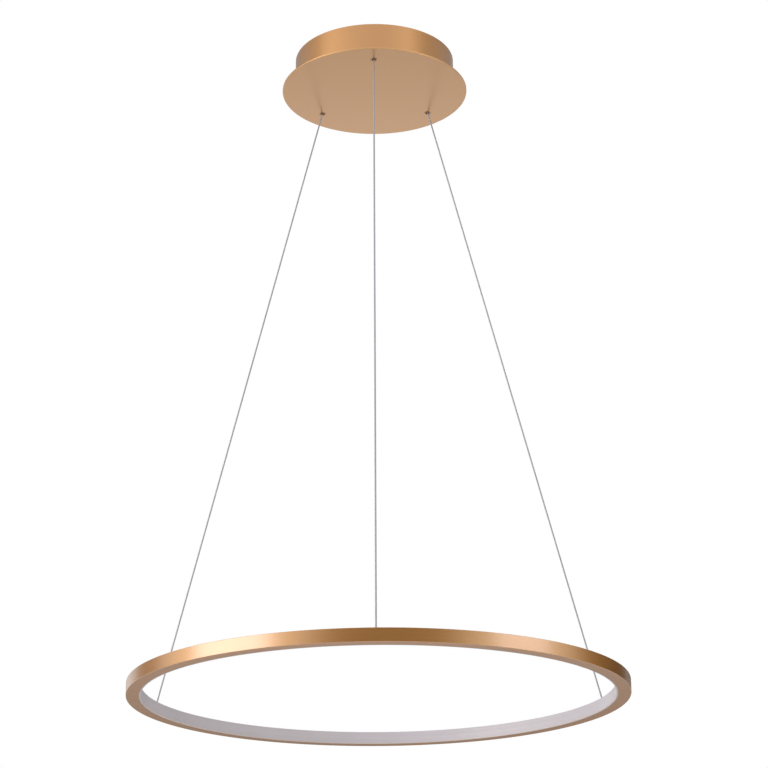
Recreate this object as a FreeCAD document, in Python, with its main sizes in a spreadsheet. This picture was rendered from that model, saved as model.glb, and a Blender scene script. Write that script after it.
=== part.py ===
"""Pendant light: a thin LED ring that hangs level from a round ceiling canopy on three power cables.

Millimetres and degrees. The origin is on the ceiling plane, on the axis that the canopy and the ring share.
+Z points up, so everything hangs below the origin, and -Y is the front of the light.
"""

import FreeCAD, Part
import math
import os
import re

import Sketcher
from FreeCAD import Placement, Rotation, Vector

# The driving sizes. Each is set by itself and goes into one cell of the sheet.
SIZES = (
    # the hang
    ("drop", 800, "underside of the canopy to the middle of the ring"),
    ("cable_diameter", 2.0, "sheathed cable that carries the ring and its current"),
    ("front_azimuth", 270, "direction of the front cable, at both of its ends"),
    ("canopy_rear_azimuth", 40, "direction of the right cable at the canopy, mirrored for the left one"),
    ("ring_rear_azimuth", 20, "direction of the right cable at the ring, mirrored for the left one"),
    # the ring
    ("ring_diameter", 600, "outside of the ring"),
    ("channel_width", 15.5, "aluminium channel, across"),
    ("channel_height", 15.5, "aluminium channel, up and down"),
    ("channel_wall", 1.6, "its outer wall"),
    ("channel_flange", 1.4, "its top and bottom flanges"),
    ("channel_chamfer", 0.5, "its long outer edges"),
    ("bead_height", 0.4, "bead on each flange that the diffuser snaps behind"),
    ("bead_width", 0.8, "that bead, across"),
    ("bead_inset", 1.6, "flange edge to bead"),
    ("seam_angle", 0.05, "angle left open where the two half rings meet"),
    ("diffuser_face", 2.0, "opal face, which stands proud of the channel"),
    ("diffuser_edge", 0.6, "chamfer round that face"),
    ("diffuser_arm", 1.1, "thickness of the two snap arms"),
    ("diffuser_reach", 5.4, "length of the two snap arms"),
    ("snap_clearance", 0.12, "arm to flange, and notch to bead"),
    ("strip_height", 8.0, "metal-core light strip, up and down"),
    ("strip_thickness", 1.0, "metal-core light strip, across"),
    ("led_count", 72, "light-emitting packages round the strip"),
    ("led_size", 2.8, "package, along and up"),
    ("led_thickness", 0.7, "package, across"),
    ("splice_width", 6.4, "joining bar, across"),
    ("splice_thickness", 2.2, "joining bar, up and down"),
    ("splice_angle", 9.0, "angle that a joining bar spans"),
    ("splice_screw_angle", 2.6, "seam to screw"),
    ("splice_screw_diameter", 2.5, "M2.5 thread"),
    ("splice_screw_length", 3.4, "under the head"),
    ("splice_clearance", 0.1, "joining bar to flange"),
    ("splice_gap", 0.3, "joining bar to the diffuser's arms"),
    # the sockets that the cables end in
    ("socket_inset", 6.0, "outside of the ring to a socket's axis"),
    ("socket_flange_diameter", 7.0, "rim on top of the ring"),
    ("socket_flange_height", 1.0, "that rim"),
    ("socket_shank_diameter", 4.4, "threaded shank"),
    ("socket_bore_diameter", 2.3, "for the cable"),
    ("socket_mouth_diameter", 4.2, "funnel that lets the cable lean"),
    ("socket_nut_width", 6.0, "across flats"),
    ("socket_nut_height", 1.8, "under the top flange"),
    ("socket_hole_play", 0.1, "shank in its hole"),
    ("socket_edge", 0.3, "chamfer round the rim"),
    ("shank_end", 0.4, "shank below its nut"),
    ("end_gap", 0.3, "foot of the leaning cable to the crimped end"),
    ("ferrule_diameter", 3.6, "crimp that the ring hangs on"),
    ("ferrule_length", 4.5, "that crimp"),
    ("ferrule_edge", 0.4, "its chamfers"),
    ("stub_depth", 0.4, "top of the rim to the cable's crimped stub"),
    ("strip_lead_diameter", 0.8, "lead from a ferrule to the strip"),
    ("strip_lead_straight", 0.4, "its straight ends"),
    # the canopy
    ("canopy_height", 45, "ceiling to the underside of the plate"),
    ("plate_diameter", 242, "round cover plate"),
    ("plate_thickness", 2.0, "round cover plate"),
    ("plate_chamfer", 0.4, "its rim"),
    ("drum_diameter", 208, "pressed drum above the plate"),
    ("drum_wall", 1.2, "drum, wall and floor"),
    ("drum_bend", 1.0, "bend between its wall and its floor"),
    ("hole_inset", 12, "outside of the drum to the axis of a cable hole"),
    # the bracket on the ceiling
    ("bracket_width", 22, "steel strap"),
    ("bracket_thickness", 1.5, "steel strap"),
    ("bracket_bend", 2.0, "outside of the bend to a lug"),
    ("lug_play", 0.1, "lug to drum"),
    ("lug_gap", 1.0, "lug to drum floor"),
    ("slot_spacing", 120, "between the two ceiling slots"),
    ("slot_length", 22, "end to end"),
    ("slot_width", 5.0, "for a wood screw"),
    ("entry_diameter", 14, "hole for the house wiring"),
    ("side_screw_diameter", 4.0, "M4 thread"),
    ("side_screw_head", 7.0, "button head"),
    ("side_screw_head_height", 2.0, "button head"),
    ("side_screw_length", 8.0, "under the head"),
    ("side_screw_height", 5.0, "axis above the plate"),
    ("thread_play", 0.05, "screw in its threaded hole"),
    ("screw_clearance", 0.2, "screw in a plain hole"),
    # the grippers
    ("bush_rim_diameter", 8.0, "rim under the plate"),
    ("bush_rim_height", 0.5, "that rim"),
    ("bush_diameter", 6.4, "shank through plate and drum floor"),
    ("bush_bore_diameter", 4.6, "bore that the plunger runs in"),
    ("bush_length", 9.0, "shank above the rim"),
    ("bush_edge", 0.2, "chamfer round the rim"),
    ("bush_mouth", 0.4, "chamfer at the bore"),
    ("barrel_diameter", 11.0, "gripper body"),
    ("barrel_length", 22.0, "gripper body"),
    ("barrel_foot_width", 13.0, "hexagon at its foot, across flats"),
    ("barrel_foot_height", 4.0, "that hexagon"),
    ("barrel_cap", 2.5, "top of the gripper body"),
    ("barrel_edge", 1.0, "chamfer round that top"),
    ("cap_play", 0.3, "cable in the top's hole"),
    ("chamber_diameter", 7.6, "space for spring and collar"),
    ("plunger_play", 0.05, "plunger to bush, on the radius"),
    ("plunger_bore_diameter", 2.9, "for the cable"),
    ("plunger_recess", 3.0, "mouth of the bush to the plunger"),
    ("plunger_edge", 0.3, "chamfer at its foot"),
    ("plunger_nose", 2.0, "sleeve above the collar, inside the spring"),
    ("collar_diameter", 6.6, "collar that the spring pushes on"),
    ("collar_height", 1.6, "that collar"),
    ("plunger_travel", 2.0, "push that lets the cable slip"),
    ("spring_wire", 0.5, "gripper spring"),
    ("spring_turns", 4.5, "gripper spring"),
    ("spring_play", 0.3, "gripper spring to the chamber's wall"),
    ("cable_bend", 11.0, "bend where the cable enters the bush, as large as its recess has room for"),
    ("tail_length", 5.0, "cable left above the gripper"),
    # driver, terminals and leads
    ("driver_length", 118, "LED driver"),
    ("driver_width", 40, "LED driver"),
    ("driver_height", 24, "LED driver"),
    ("driver_corner", 3.0, "its upright corners"),
    ("driver_edge", 1.2, "its top edge"),
    ("driver_ear", 9.0, "fixing ear at each end"),
    ("driver_ear_height", 2.5, "that ear"),
    ("driver_setback", 28, "canopy axis to the middle of the driver, towards the front"),
    ("driver_screw_diameter", 3.0, "M3 thread"),
    ("driver_screw_head", 5.6, "pan head"),
    ("driver_screw_head_height", 1.8, "pan head"),
    ("terminal_pitch", 10, "between two poles"),
    ("terminal_depth", 22, "terminal block, along its wires"),
    ("terminal_shoulder", 3.0, "slope at its front and back, along the wires"),
    ("terminal_slope", 4.2, "that slope, up and down"),
    ("terminal_height", 14, "terminal block"),
    ("terminal_setback", 34, "canopy axis to the middle of the block, towards the back"),
    ("terminal_mouth_diameter", 4.0, "wire entry"),
    ("terminal_well_diameter", 4.6, "well over a clamp screw"),
    ("terminal_well_depth", 3.0, "that well"),
    ("terminal_screw_height", 2.4, "clamp screw head in the well"),
    ("terminal_screw_play", 0.2, "clamp screw head to the well"),
    ("terminal_screw_offset", 4.84, "middle of the block to a row of clamp screws"),
    ("terminal_mouth_height", 4.67, "foot of the block to the wire entries"),
    ("earth_radius", 78, "canopy axis to the earth screw"),
    ("earth_azimuth", 112, "direction of the earth screw"),
    ("earth_head_diameter", 7.2, "earth screw's head"),
    ("earth_head_height", 2.4, "earth screw's head"),
    ("earth_tag_diameter", 8.0, "ring tag under that head"),
    ("earth_tag_thickness", 0.8, "ring tag under that head"),
    ("lead_diameter", 1.8, "insulated lead of the house wiring"),
    ("lead_straight", 3.0, "its straight ends"),
    ("lead_push", 3.0, "lead inside a wire entry"),
    ("lead_reach", 7.0, "wire entry to the lead's turn"),
    ("lead_shift", 14.0, "sideways shift of the leads towards the driver"),
    ("feed_straight", 1.0, "straight ends of a feed lead"),
    ("feed_rise", 7.0, "end of a cable up to the feed lead's highest run"),
    ("feed_turn", 9.0, "sideways, along each axis, to a feed lead's second turn"),
    ("feed_dip", 2.0, "fall of a feed lead's long run"),
    ("feed_inset", 14.0, "end of the driver to a feed lead"),
    ("feed_reach", 12.0, "back of the driver to a feed lead's drop"),
)

# Sizes that follow from the driving ones.
DERIVED = {
    "ring_radius": "ring_diameter / 2",
    "socket_radius": "ring_radius - socket_inset",
    "hole_radius": "drum_diameter / 2 - hole_inset",
    "half_channel": "channel_height / 2",
    "mouth_radius": "ring_radius - channel_width",
    "wall_radius": "ring_radius - channel_wall",
    "inside_height": "half_channel - channel_flange",
    "face_radius": "mouth_radius - diffuser_face",
    "arm_height": "inside_height - snap_clearance",
    "arm_end_radius": "mouth_radius + diffuser_reach",
    "bead_start": "mouth_radius + bead_inset",
    "bead_end": "mouth_radius + bead_inset + bead_width",
    "bead_level": "inside_height - bead_height",
    "notch_level": "bead_level - snap_clearance",
    "strip_radius": "wall_radius - strip_thickness",
    "led_radius": "strip_radius - led_thickness",
    "splice_inner": "arm_end_radius + splice_gap",
    "splice_top": "inside_height - splice_clearance",
    "splice_screw_radius": "splice_inner + splice_width / 2",
    "ring_level": "-(canopy_height + drop)",
    "ring_top": "ring_level + half_channel",
    "nut_level": "half_channel - channel_flange - socket_nut_height",
    "shank_foot": "nut_level - shank_end",
    "socket_top": "half_channel + socket_flange_height",
    "stub_top": "socket_top - stub_depth",
    "foot_level": "ring_level + socket_top + end_gap",
    "plate_under": "-canopy_height",
    "plate_top": "plate_under + plate_thickness",
    "floor_top": "plate_top + drum_wall",
    "drum_radius": "drum_diameter / 2",
    "drum_inside": "drum_radius - drum_wall",
    "lug_face": "sqrt(pow(drum_inside; 2) - pow(bracket_width / 2; 2)) - lug_play",
    "side_screw_level": "plate_top + side_screw_height",
    "floor_lift": "plate_thickness + drum_wall",
    "bush_top": "bush_length",
    "barrel_top": "floor_lift + barrel_length",
    "chamber_top": "barrel_top - barrel_cap",
    "plunger_radius": "bush_bore_diameter / 2 - plunger_play",
    "collar_top": "bush_top + collar_height",
    "tail_top": "plate_under + barrel_top + tail_length",
}

# How wound wires and leads are made.
ARCS_PER_TURN = 8
SHORTEST_RUN = 0.001
VOLUME_SHARE = 0.01

doc = FreeCAD.newDocument("RingPendant")
sheet = doc.addObject("Spreadsheet::Sheet", "Sizes")


def fill_sheet():
    """Writes each driving size into its own named cell."""
    for row, (name, value, note) in enumerate(SIZES, 1):
        sheet.set(f"A{row}", name)
        sheet.set(f"B{row}", str(value))
        sheet.set(f"C{row}", note)
        sheet.setAlias(f"B{row}", name)
    doc.recompute()


CELLS = {name for name, value, note in SIZES}


def formula(text):
    """An expression on the sheet's cells from one written in the names above."""

    def swap(match):
        word = match.group(0)
        if word in DERIVED:
            return "(" + formula(DERIVED[word]) + ")"
        return "Sizes." + word if word in CELLS else word

    return re.sub(r"[a-z][a-z_]*", swap, str(text))


def size(text):
    """The value of an expression in the names above."""
    return float(sheet.evalExpression(formula(text)))


def bind(item, **expressions):
    """Ties properties of an object to the sheet."""
    for name, text in expressions.items():
        item.setExpression(name, formula(text))
    return item


def place(item, x="0", y="0", z="0", turn="0"):
    """Ties an object's place, and its turn about the upright axis, to the sheet."""
    at = f"vector(({formula(x)}); ({formula(y)}); ({formula(z)}))"
    about = f"rotation(vector(0; 0; 1); ({formula(turn)}))"
    item.setExpression("Placement", f"placement({at}; {about})")
    return item


def polar(radius, azimuth):
    """The x and y expressions of a point at a radius and an azimuth."""
    return f"({radius}) * cos(({azimuth}) * 1 deg)", f"({radius}) * sin(({azimuth}) * 1 deg)"


# ---------------------------------------------------------------- sketches and features


def new_body(label):
    """An empty body whose label names its file."""
    body = doc.addObject("PartDesign::Body", label)
    body.Label = label
    return body


def new_sketch(body, plane, lift="0"):
    """A sketch on one of the body's own origin planes, lifted along the plane's normal."""
    sketch = body.newObject("Sketcher::SketchObject", body.Label + "_sketch")
    origin = [face for face in body.Origin.OriginFeatures if face.Role == plane][0]
    sketch.AttachmentSupport = [(origin, "")]
    sketch.MapMode = "FlatFace"
    if lift != "0":
        sketch.setExpression("AttachmentOffset.Base.z", formula(lift))
    return sketch


def pin(sketch, kind, edge, point, text):
    """Ties one coordinate of a sketch point to the sheet."""
    index = sketch.addConstraint(Sketcher.Constraint(kind, -1, 1, edge, point, size(text)))
    sketch.setExpression(f"Constraints[{index}]", formula(text))


def draw_outline(sketch, points):
    """A closed outline of straight edges through points given as pairs of expressions."""
    places = [Vector(size(x), size(y), 0) for x, y in points]
    first = len(sketch.Geometry)
    count = len(points)
    for index in range(count):
        line = Part.LineSegment(places[index], places[(index + 1) % count])
        sketch.addGeometry(line, False)
    for index in range(count):
        after = first + (index + 1) % count
        sketch.addConstraint(Sketcher.Constraint("Coincident", first + index, 2, after, 1))
    for index, (x, y) in enumerate(points):
        pin(sketch, "DistanceX", first + index, 1, x)
        pin(sketch, "DistanceY", first + index, 1, y)


def draw_circle(sketch, x, y, diameter):
    """A circle at a point, all three given as expressions."""
    centre = Vector(size(x), size(y), 0)
    edge = sketch.addGeometry(Part.Circle(centre, Vector(0, 0, 1), size(diameter) / 2), False)
    pin(sketch, "DistanceX", edge, 3, x)
    pin(sketch, "DistanceY", edge, 3, y)
    index = sketch.addConstraint(Sketcher.Constraint("Diameter", edge, size(diameter)))
    sketch.setExpression(f"Constraints[{index}]", formula(diameter))


def box_outline(x_low, x_high, y_low, y_high):
    """The four corners of a rectangle."""
    return [(x_low, y_low), (x_high, y_low), (x_high, y_high), (x_low, y_high)]


def revolve(body, points, angle="360"):
    """Turns an outline of (radius, height) points about the upright axis, evenly to both sides of +X."""
    sketch = new_sketch(body, "XZ_Plane")
    draw_outline(sketch, points)
    turned = body.newObject("PartDesign::Revolution", body.Label + "_turned")
    turned.Profile = sketch
    turned.ReferenceAxis = (sketch, ["V_Axis"])
    turned.Midplane = angle != "360"
    bind(turned, Angle=angle)
    doc.recompute()
    return turned


def pad(body, points, height, plane="XY_Plane", lift="0"):
    """Raises an outline along its plane's normal."""
    sketch = new_sketch(body, plane, lift)
    draw_outline(sketch, points)
    padded = body.newObject("PartDesign::Pad", body.Label + "_pad")
    padded.Profile = sketch
    bind(padded, Length=height)
    doc.recompute()
    return padded


def cut(body, sketch, depth="", upwards=False):
    """Cuts a sketch into a body, through everything or to a depth, and stops if nothing comes away."""
    before = body.Shape.Volume
    pocket = body.newObject("PartDesign::Pocket", body.Label + "_cut")
    pocket.Profile = sketch
    pocket.Reversed = upwards
    if depth:
        bind(pocket, Length=depth)
    else:
        pocket.Type = "ThroughAll"
    doc.recompute()
    if not body.Shape.Volume < before:
        raise ValueError(body.Label + ": a cut takes nothing away")
    return pocket


def edges_where(body, test):
    """The names of a body's edges that pass a test."""
    return [f"Edge{index}" for index, edge in enumerate(body.Shape.Edges, 1) if test(edge)]


def dress(body, kind, edges):
    """A fillet or a chamfer on edges of the body as it stands."""
    base = body.Tip
    feature = body.newObject("PartDesign::" + kind, f"{body.Label}_{kind.lower()}")
    feature.Base = (base, edges)
    return feature


def drill(body, places, diameter, plane="XY_Plane", lift="0", upwards=False):
    """Round holes through a body at pairs of expressions."""
    sketch = new_sketch(body, plane, lift)
    for x, y in places:
        draw_circle(sketch, x, y, diameter)
    return cut(body, sketch, upwards=upwards)


def turned_piece(label, points, x="0", y="0", z="0", turn="0", angle="360"):
    """A body made by turning one outline."""
    body = new_body(label)
    revolve(body, points, angle)
    return place(body, x, y, z, turn)


def group(label, solids):
    """Separate solids of one kind as one object."""
    compound = doc.addObject("Part::Compound", label)
    compound.Label = label
    compound.Links = solids
    doc.recompute()
    return compound


def cylinder(label, diameter, height, x="0", y="0", z="0"):
    """An upright cylinder that stands on a point."""
    item = doc.addObject("Part::Cylinder", label)
    bind(item, Radius=f"({diameter}) / 2", Height=height)
    return place(item, x, y, z)


def pan_screw(label, head, head_height, shank, length, x="0", y="0", z="0"):
    """An upright screw, head up, whose head seats on a point."""
    top = cylinder(label + "_head", head, head_height, x, y, z)
    low = cylinder(label + "_shank", shank, length, x, y, f"({z}) - ({length})")
    screw = doc.addObject("Part::Fuse", label)
    screw.Base = top
    screw.Tool = low
    doc.recompute()
    return screw


def tube_along(label, corners, diameter, straight):
    """A round wire or lead whose corners are arcs as large as its runs have room for.

    Two arcs share a run between them half and half. Each end keeps a straight bit.
    """
    runs = [after - before for before, after in zip(corners, corners[1:])]
    room = [run.Length / 2 for run in runs]
    room[0] = runs[0].Length - straight
    room[-1] = runs[-1].Length - straight
    edges = []
    radii = []
    start = corners[0]
    for index, corner in enumerate(corners[1:-1]):
        set_back = min(room[index], room[index + 1])
        inward = Vector(runs[index]).normalize()
        outward = Vector(runs[index + 1]).normalize()
        half_turn = inward.getAngle(outward) / 2
        bend = set_back / math.tan(half_turn)
        arc_start = corner - inward * set_back
        arc_end = corner + outward * set_back
        middle = corner + (outward - inward).normalize() * (bend / math.cos(half_turn) - bend)
        if (arc_start - start).Length > SHORTEST_RUN:
            edges.append(Part.LineSegment(start, arc_start).toShape())
        edges.append(Part.Arc(arc_start, middle, arc_end).toShape())
        radii.append(bend)
        start = arc_end
    if (corners[-1] - start).Length > SHORTEST_RUN:
        edges.append(Part.LineSegment(start, corners[-1]).toShape())
    print(label, "radii", sorted({round(radius, 1) for radius in radii}), "mm")
    return swept(label, edges, diameter, corners[0], runs[0])


def swept(label, edges, diameter, start, direction):
    """A round bar along joined edges. Stops unless its volume is its section times its length."""
    path = Part.Wire(edges)
    section = Part.Wire(Part.makeCircle(diameter / 2, start, direction))
    shape = path.makePipeShell([section], True, False)
    expected = math.pi * diameter ** 2 / 4 * path.Length
    if abs(shape.Volume - expected) > VOLUME_SHARE * expected:
        raise ValueError(label + ": the tube's volume isn't its section times its length")
    return shape


def made_piece(label, shape):
    """An object that holds a shape worked out here."""
    item = doc.addObject("Part::Feature", label)
    item.Label = label
    item.Shape = shape
    item.Placement = Placement()
    return item


# ---------------------------------------------------------------- ring

FRONT = "-90"
REAR = "90"


def channel_outline():
    """The channel's section, open towards the middle of the ring, with its two snap beads."""
    upper = [
        ("mouth_radius", "half_channel"),
        ("mouth_radius", "inside_height"),
        ("bead_start", "inside_height"),
        ("bead_start + bead_width / 4", "bead_level"),
        ("bead_end - bead_width / 4", "bead_level"),
        ("bead_end", "inside_height"),
        ("wall_radius", "inside_height"),
    ]
    lower = [(x, f"-({y})") for x, y in reversed(upper)]
    outside = [
        ("ring_radius - channel_chamfer", "-half_channel"),
        ("ring_radius", "channel_chamfer - half_channel"),
        ("ring_radius", "half_channel - channel_chamfer"),
        ("ring_radius - channel_chamfer", "half_channel"),
    ]
    return upper + lower + outside


def screw_places():
    """Where the two splice screws of a half ring stand, in that half's own frame."""
    return [polar("splice_screw_radius", f"{side} * (90 - splice_screw_angle)") for side in ("1", "-1")]


def make_half_ring(label, turn, socket_azimuths):
    """Half of the rolled channel, with holes in its top flange for sockets and splice screws."""
    body = new_body(label)
    revolve(body, channel_outline(), "180 - seam_angle")
    sockets = [polar("socket_radius", f"{azimuth} - ({turn})") for azimuth in socket_azimuths]
    drill(body, sockets, "socket_shank_diameter + socket_hole_play", upwards=True)
    drill(body, screw_places(), "splice_screw_diameter + 2 * thread_play", upwards=True)
    return place(body, z="ring_level", turn=turn)


def diffuser_outline():
    """The opal section: a face that covers the channel's mouth and two arms that snap behind its beads."""
    upper = [
        ("face_radius", "half_channel - diffuser_edge"),
        ("face_radius + diffuser_edge", "half_channel"),
        ("mouth_radius", "half_channel"),
        ("mouth_radius", "arm_height"),
        ("bead_start - snap_clearance", "arm_height"),
        ("bead_start - snap_clearance", "notch_level"),
        ("bead_end + snap_clearance", "notch_level"),
        ("bead_end + snap_clearance", "arm_height"),
        ("arm_end_radius - diffuser_arm", "arm_height"),
        ("arm_end_radius", "arm_height - diffuser_arm / 2"),
        ("arm_end_radius", "arm_height - diffuser_arm"),
        ("mouth_radius", "arm_height - diffuser_arm"),
    ]
    lower = [(x, f"-({y})") for x, y in reversed(upper)]
    return upper + lower


def make_strip():
    """The light strip round the inside of the outer wall, and its packages."""
    half = "strip_height / 2"
    turned_piece(
        "led_strip",
        box_outline("strip_radius", "wall_radius", f"-{half}", half),
        z="ring_level",
        turn=REAR,
        angle="360 - 2 * seam_angle",
    )
    packages = []
    for index in range(int(size("led_count"))):
        box = doc.addObject("Part::Box", f"led_{index}")
        bind(box, Length="led_thickness", Width="led_size", Height="led_size")
        azimuth = f"(({index} + 0.5) * 360 / led_count)"
        shift_x, shift_y = polar("led_size / 2", azimuth + " - 90")
        x, y = polar("led_radius", azimuth)
        place(box, f"{x} + {shift_x}", f"{y} + {shift_y}", "ring_level - led_size / 2", azimuth)
        packages.append(box)
    group("led_packages", packages)


def make_splices():
    """The two bars inside the channel that join the half rings, and their four screws."""
    section = box_outline(
        "splice_inner", "splice_inner + splice_width", "splice_top - splice_thickness", "splice_top"
    )
    for label, turn in (("splice_bar_right", "0"), ("splice_bar_left", "180")):
        body = new_body(label)
        revolve(body, section, "splice_angle")
        holes = [polar("splice_screw_radius", f"{side} * splice_screw_angle") for side in ("1", "-1")]
        drill(body, holes, "splice_screw_diameter + 2 * thread_play", upwards=True)
        place(body, z="ring_level", turn=turn)
    screws = []
    for index, azimuth in enumerate(
        ("splice_screw_angle", "-splice_screw_angle", "180 - splice_screw_angle", "180 + splice_screw_angle")
    ):
        x, y = polar("splice_screw_radius", azimuth)
        screws.append(
            pan_screw(
                f"splice_screw_{index}",
                "1.8 * splice_screw_diameter",
                "0.4 * splice_screw_diameter",
                "splice_screw_diameter",
                "splice_screw_length",
                x,
                y,
                "ring_top",
            )
        )
    group("splice_screws", screws)


def socket_outline():
    """A flanged bush whose funnel lets the cable lean."""
    return [
        ("socket_bore_diameter / 2", "shank_foot"),
        ("socket_shank_diameter / 2", "shank_foot"),
        ("socket_shank_diameter / 2", "half_channel"),
        ("socket_flange_diameter / 2", "half_channel"),
        ("socket_flange_diameter / 2", "socket_top - socket_edge"),
        ("socket_flange_diameter / 2 - socket_edge", "socket_top"),
        ("socket_mouth_diameter / 2", "socket_top"),
        ("socket_bore_diameter / 2", "socket_top - 1.5 * socket_flange_height"),
    ]


def crimp_outline():
    """The cable's crimped end: a stub in the socket's bore and the ferrule that it hangs on."""
    return [
        ("0", "shank_foot - ferrule_length"),
        ("ferrule_diameter / 2 - ferrule_edge", "shank_foot - ferrule_length"),
        ("ferrule_diameter / 2", "shank_foot - ferrule_length + ferrule_edge"),
        ("ferrule_diameter / 2", "shank_foot - ferrule_edge"),
        ("ferrule_diameter / 2 - ferrule_edge", "shank_foot"),
        ("cable_diameter / 2", "shank_foot"),
        ("cable_diameter / 2", "stub_top"),
        ("0", "stub_top"),
    ]


def make_nut(name, x, y):
    """A hexagon nut on a socket's shank."""
    prism = doc.addObject("Part::Prism", f"socket_nut_prism_{name}")
    prism.Polygon = 6
    bind(prism, Circumradius="socket_nut_width / sqrt(3)", Height="socket_nut_height")
    place(prism, x, y, "ring_level + nut_level")
    hole = cylinder(
        f"socket_nut_hole_{name}",
        "socket_shank_diameter + 2 * thread_play",
        "socket_nut_height",
        x,
        y,
        "ring_level + nut_level",
    )
    nut = doc.addObject("Part::Cut", f"socket_nut_{name}")
    nut.Base = prism
    nut.Tool = hole
    return nut


def strip_lead(name, azimuth):
    """A short lead from a ferrule to the light strip."""
    low = "ring_level - strip_height / 2 + strip_lead_diameter"
    route = [
        point("socket_radius", azimuth, "ring_level + shank_foot - ferrule_length"),
        point("socket_radius", azimuth, low),
        point("strip_radius", azimuth, low),
    ]
    return tube_along(name, route, size("strip_lead_diameter"), size("strip_lead_straight"))


# ---------------------------------------------------------------- canopy


def make_canopy():
    """The round plate and the pressed drum above it."""
    holes = [polar("hole_radius", azimuth) for azimuth, name in canopy_stations()]
    plate = new_body("canopy_plate")
    revolve(
        plate,
        [
            ("0", "0"),
            ("plate_diameter / 2 - plate_chamfer", "0"),
            ("plate_diameter / 2", "plate_chamfer"),
            ("plate_diameter / 2", "plate_thickness - plate_chamfer"),
            ("plate_diameter / 2 - plate_chamfer", "plate_thickness"),
            ("0", "plate_thickness"),
        ],
    )
    drill(plate, holes, "bush_diameter + 2 * thread_play", upwards=True)
    place(plate, z="plate_under")

    drum = new_body("canopy_drum")
    revolve(
        drum,
        [
            ("0", "plate_top"),
            ("drum_radius - drum_bend", "plate_top"),
            ("drum_radius - 0.3 * drum_bend", "plate_top + 0.3 * drum_bend"),
            ("drum_radius", "plate_top + drum_bend"),
            ("drum_radius", "0"),
            ("drum_inside", "0"),
            ("drum_inside", "floor_top"),
            ("0", "floor_top"),
        ],
    )
    drill(drum, holes, "bush_diameter + 2 * thread_play", lift="plate_top", upwards=True)
    driver_screws = driver_screw_places()
    drill(drum, driver_screws, "driver_screw_diameter + 2 * thread_play", lift="plate_top", upwards=True)
    drill_across(drum, "side_screw_diameter + 2 * screw_clearance")
    place(drum)


def drill_across(body, diameter):
    """The holes for the two side screws, along X."""
    drill(body, [("0", "side_screw_level")], diameter, plane="YZ_Plane", lift="-drum_diameter", upwards=True)


def canopy_stations():
    """Azimuth and name of each cable at the canopy."""
    return (
        ("front_azimuth", "front"),
        ("canopy_rear_azimuth", "right"),
        ("(180 - canopy_rear_azimuth)", "left"),
    )


def ring_stations():
    """Azimuth and name of each cable at the ring."""
    return (
        ("front_azimuth", "front"),
        ("ring_rear_azimuth", "right"),
        ("(180 - ring_rear_azimuth)", "left"),
    )


def make_bracket():
    """The strap on the ceiling, with two lugs turned down inside the drum."""
    body = new_body("ceiling_bracket")
    lug_foot = "floor_top + lug_gap"
    pad(
        body,
        [
            ("-lug_face", lug_foot),
            ("bracket_thickness - lug_face", lug_foot),
            ("bracket_thickness - lug_face", "-bracket_bend"),
            ("bracket_bend - lug_face", "-bracket_thickness"),
            ("lug_face - bracket_bend", "-bracket_thickness"),
            ("lug_face - bracket_thickness", "-bracket_bend"),
            ("lug_face - bracket_thickness", lug_foot),
            ("lug_face", lug_foot),
            ("lug_face", "-bracket_bend / 2"),
            ("lug_face - bracket_bend / 2", "0"),
            ("bracket_bend / 2 - lug_face", "0"),
            ("-lug_face", "-bracket_bend / 2"),
        ],
        "bracket_width",
        plane="XZ_Plane",
        lift="-bracket_width / 2",
    )
    drill(body, [("0", "0")], "entry_diameter", lift="-bracket_thickness", upwards=True)
    slots = new_sketch(body, "XY_Plane", "-bracket_thickness")
    for side in ("-1", "1"):
        middle = f"{side} * slot_spacing / 2"
        half = "(slot_length - slot_width) / 2"
        draw_slot(slots, f"{middle} - {half}", f"{middle} + {half}", "slot_width")
    cut(body, slots, upwards=True)
    drill_across(body, "side_screw_diameter + 2 * thread_play")
    place(body)


def draw_slot(sketch, x_low, x_high, width):
    """A slot along X, with round ends."""
    low, high, radius = size(x_low), size(x_high), size(width) / 2
    up = Vector(0, 0, 1)
    quarter = math.pi / 2
    left = sketch.addGeometry(
        Part.ArcOfCircle(Part.Circle(Vector(low, 0, 0), up, radius), quarter, 3 * quarter), False
    )
    right = sketch.addGeometry(
        Part.ArcOfCircle(Part.Circle(Vector(high, 0, 0), up, radius), -quarter, quarter), False
    )
    bottom = sketch.addGeometry(Part.LineSegment(Vector(low, -radius, 0), Vector(high, -radius, 0)), False)
    top = sketch.addGeometry(Part.LineSegment(Vector(high, radius, 0), Vector(low, radius, 0)), False)
    for first, first_end, second, second_end in (
        (left, 2, bottom, 1),
        (bottom, 2, right, 1),
        (right, 2, top, 1),
        (top, 2, left, 1),
    ):
        sketch.addConstraint(Sketcher.Constraint("Tangent", first, first_end, second, second_end))
    pin(sketch, "DistanceX", left, 3, x_low)
    pin(sketch, "DistanceX", right, 3, x_high)
    sketch.addConstraint(Sketcher.Constraint("PointOnObject", left, 3, -1))
    sketch.addConstraint(Sketcher.Constraint("Horizontal", bottom))
    index = sketch.addConstraint(Sketcher.Constraint("Radius", left, radius))
    sketch.setExpression(f"Constraints[{index}]", formula(f"({width}) / 2"))


def side_screw_outline():
    """Half of a button-head screw that lies along X with its head on the drum."""
    return [
        ("drum_radius - side_screw_length", "0"),
        ("drum_radius - side_screw_length", "side_screw_diameter / 2"),
        ("drum_radius", "side_screw_diameter / 2"),
        ("drum_radius", "side_screw_head / 2"),
        ("drum_radius + side_screw_head_height / 2", "side_screw_head / 2"),
        ("drum_radius + side_screw_head_height", "side_screw_head / 4"),
        ("drum_radius + side_screw_head_height", "0"),
    ]


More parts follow.
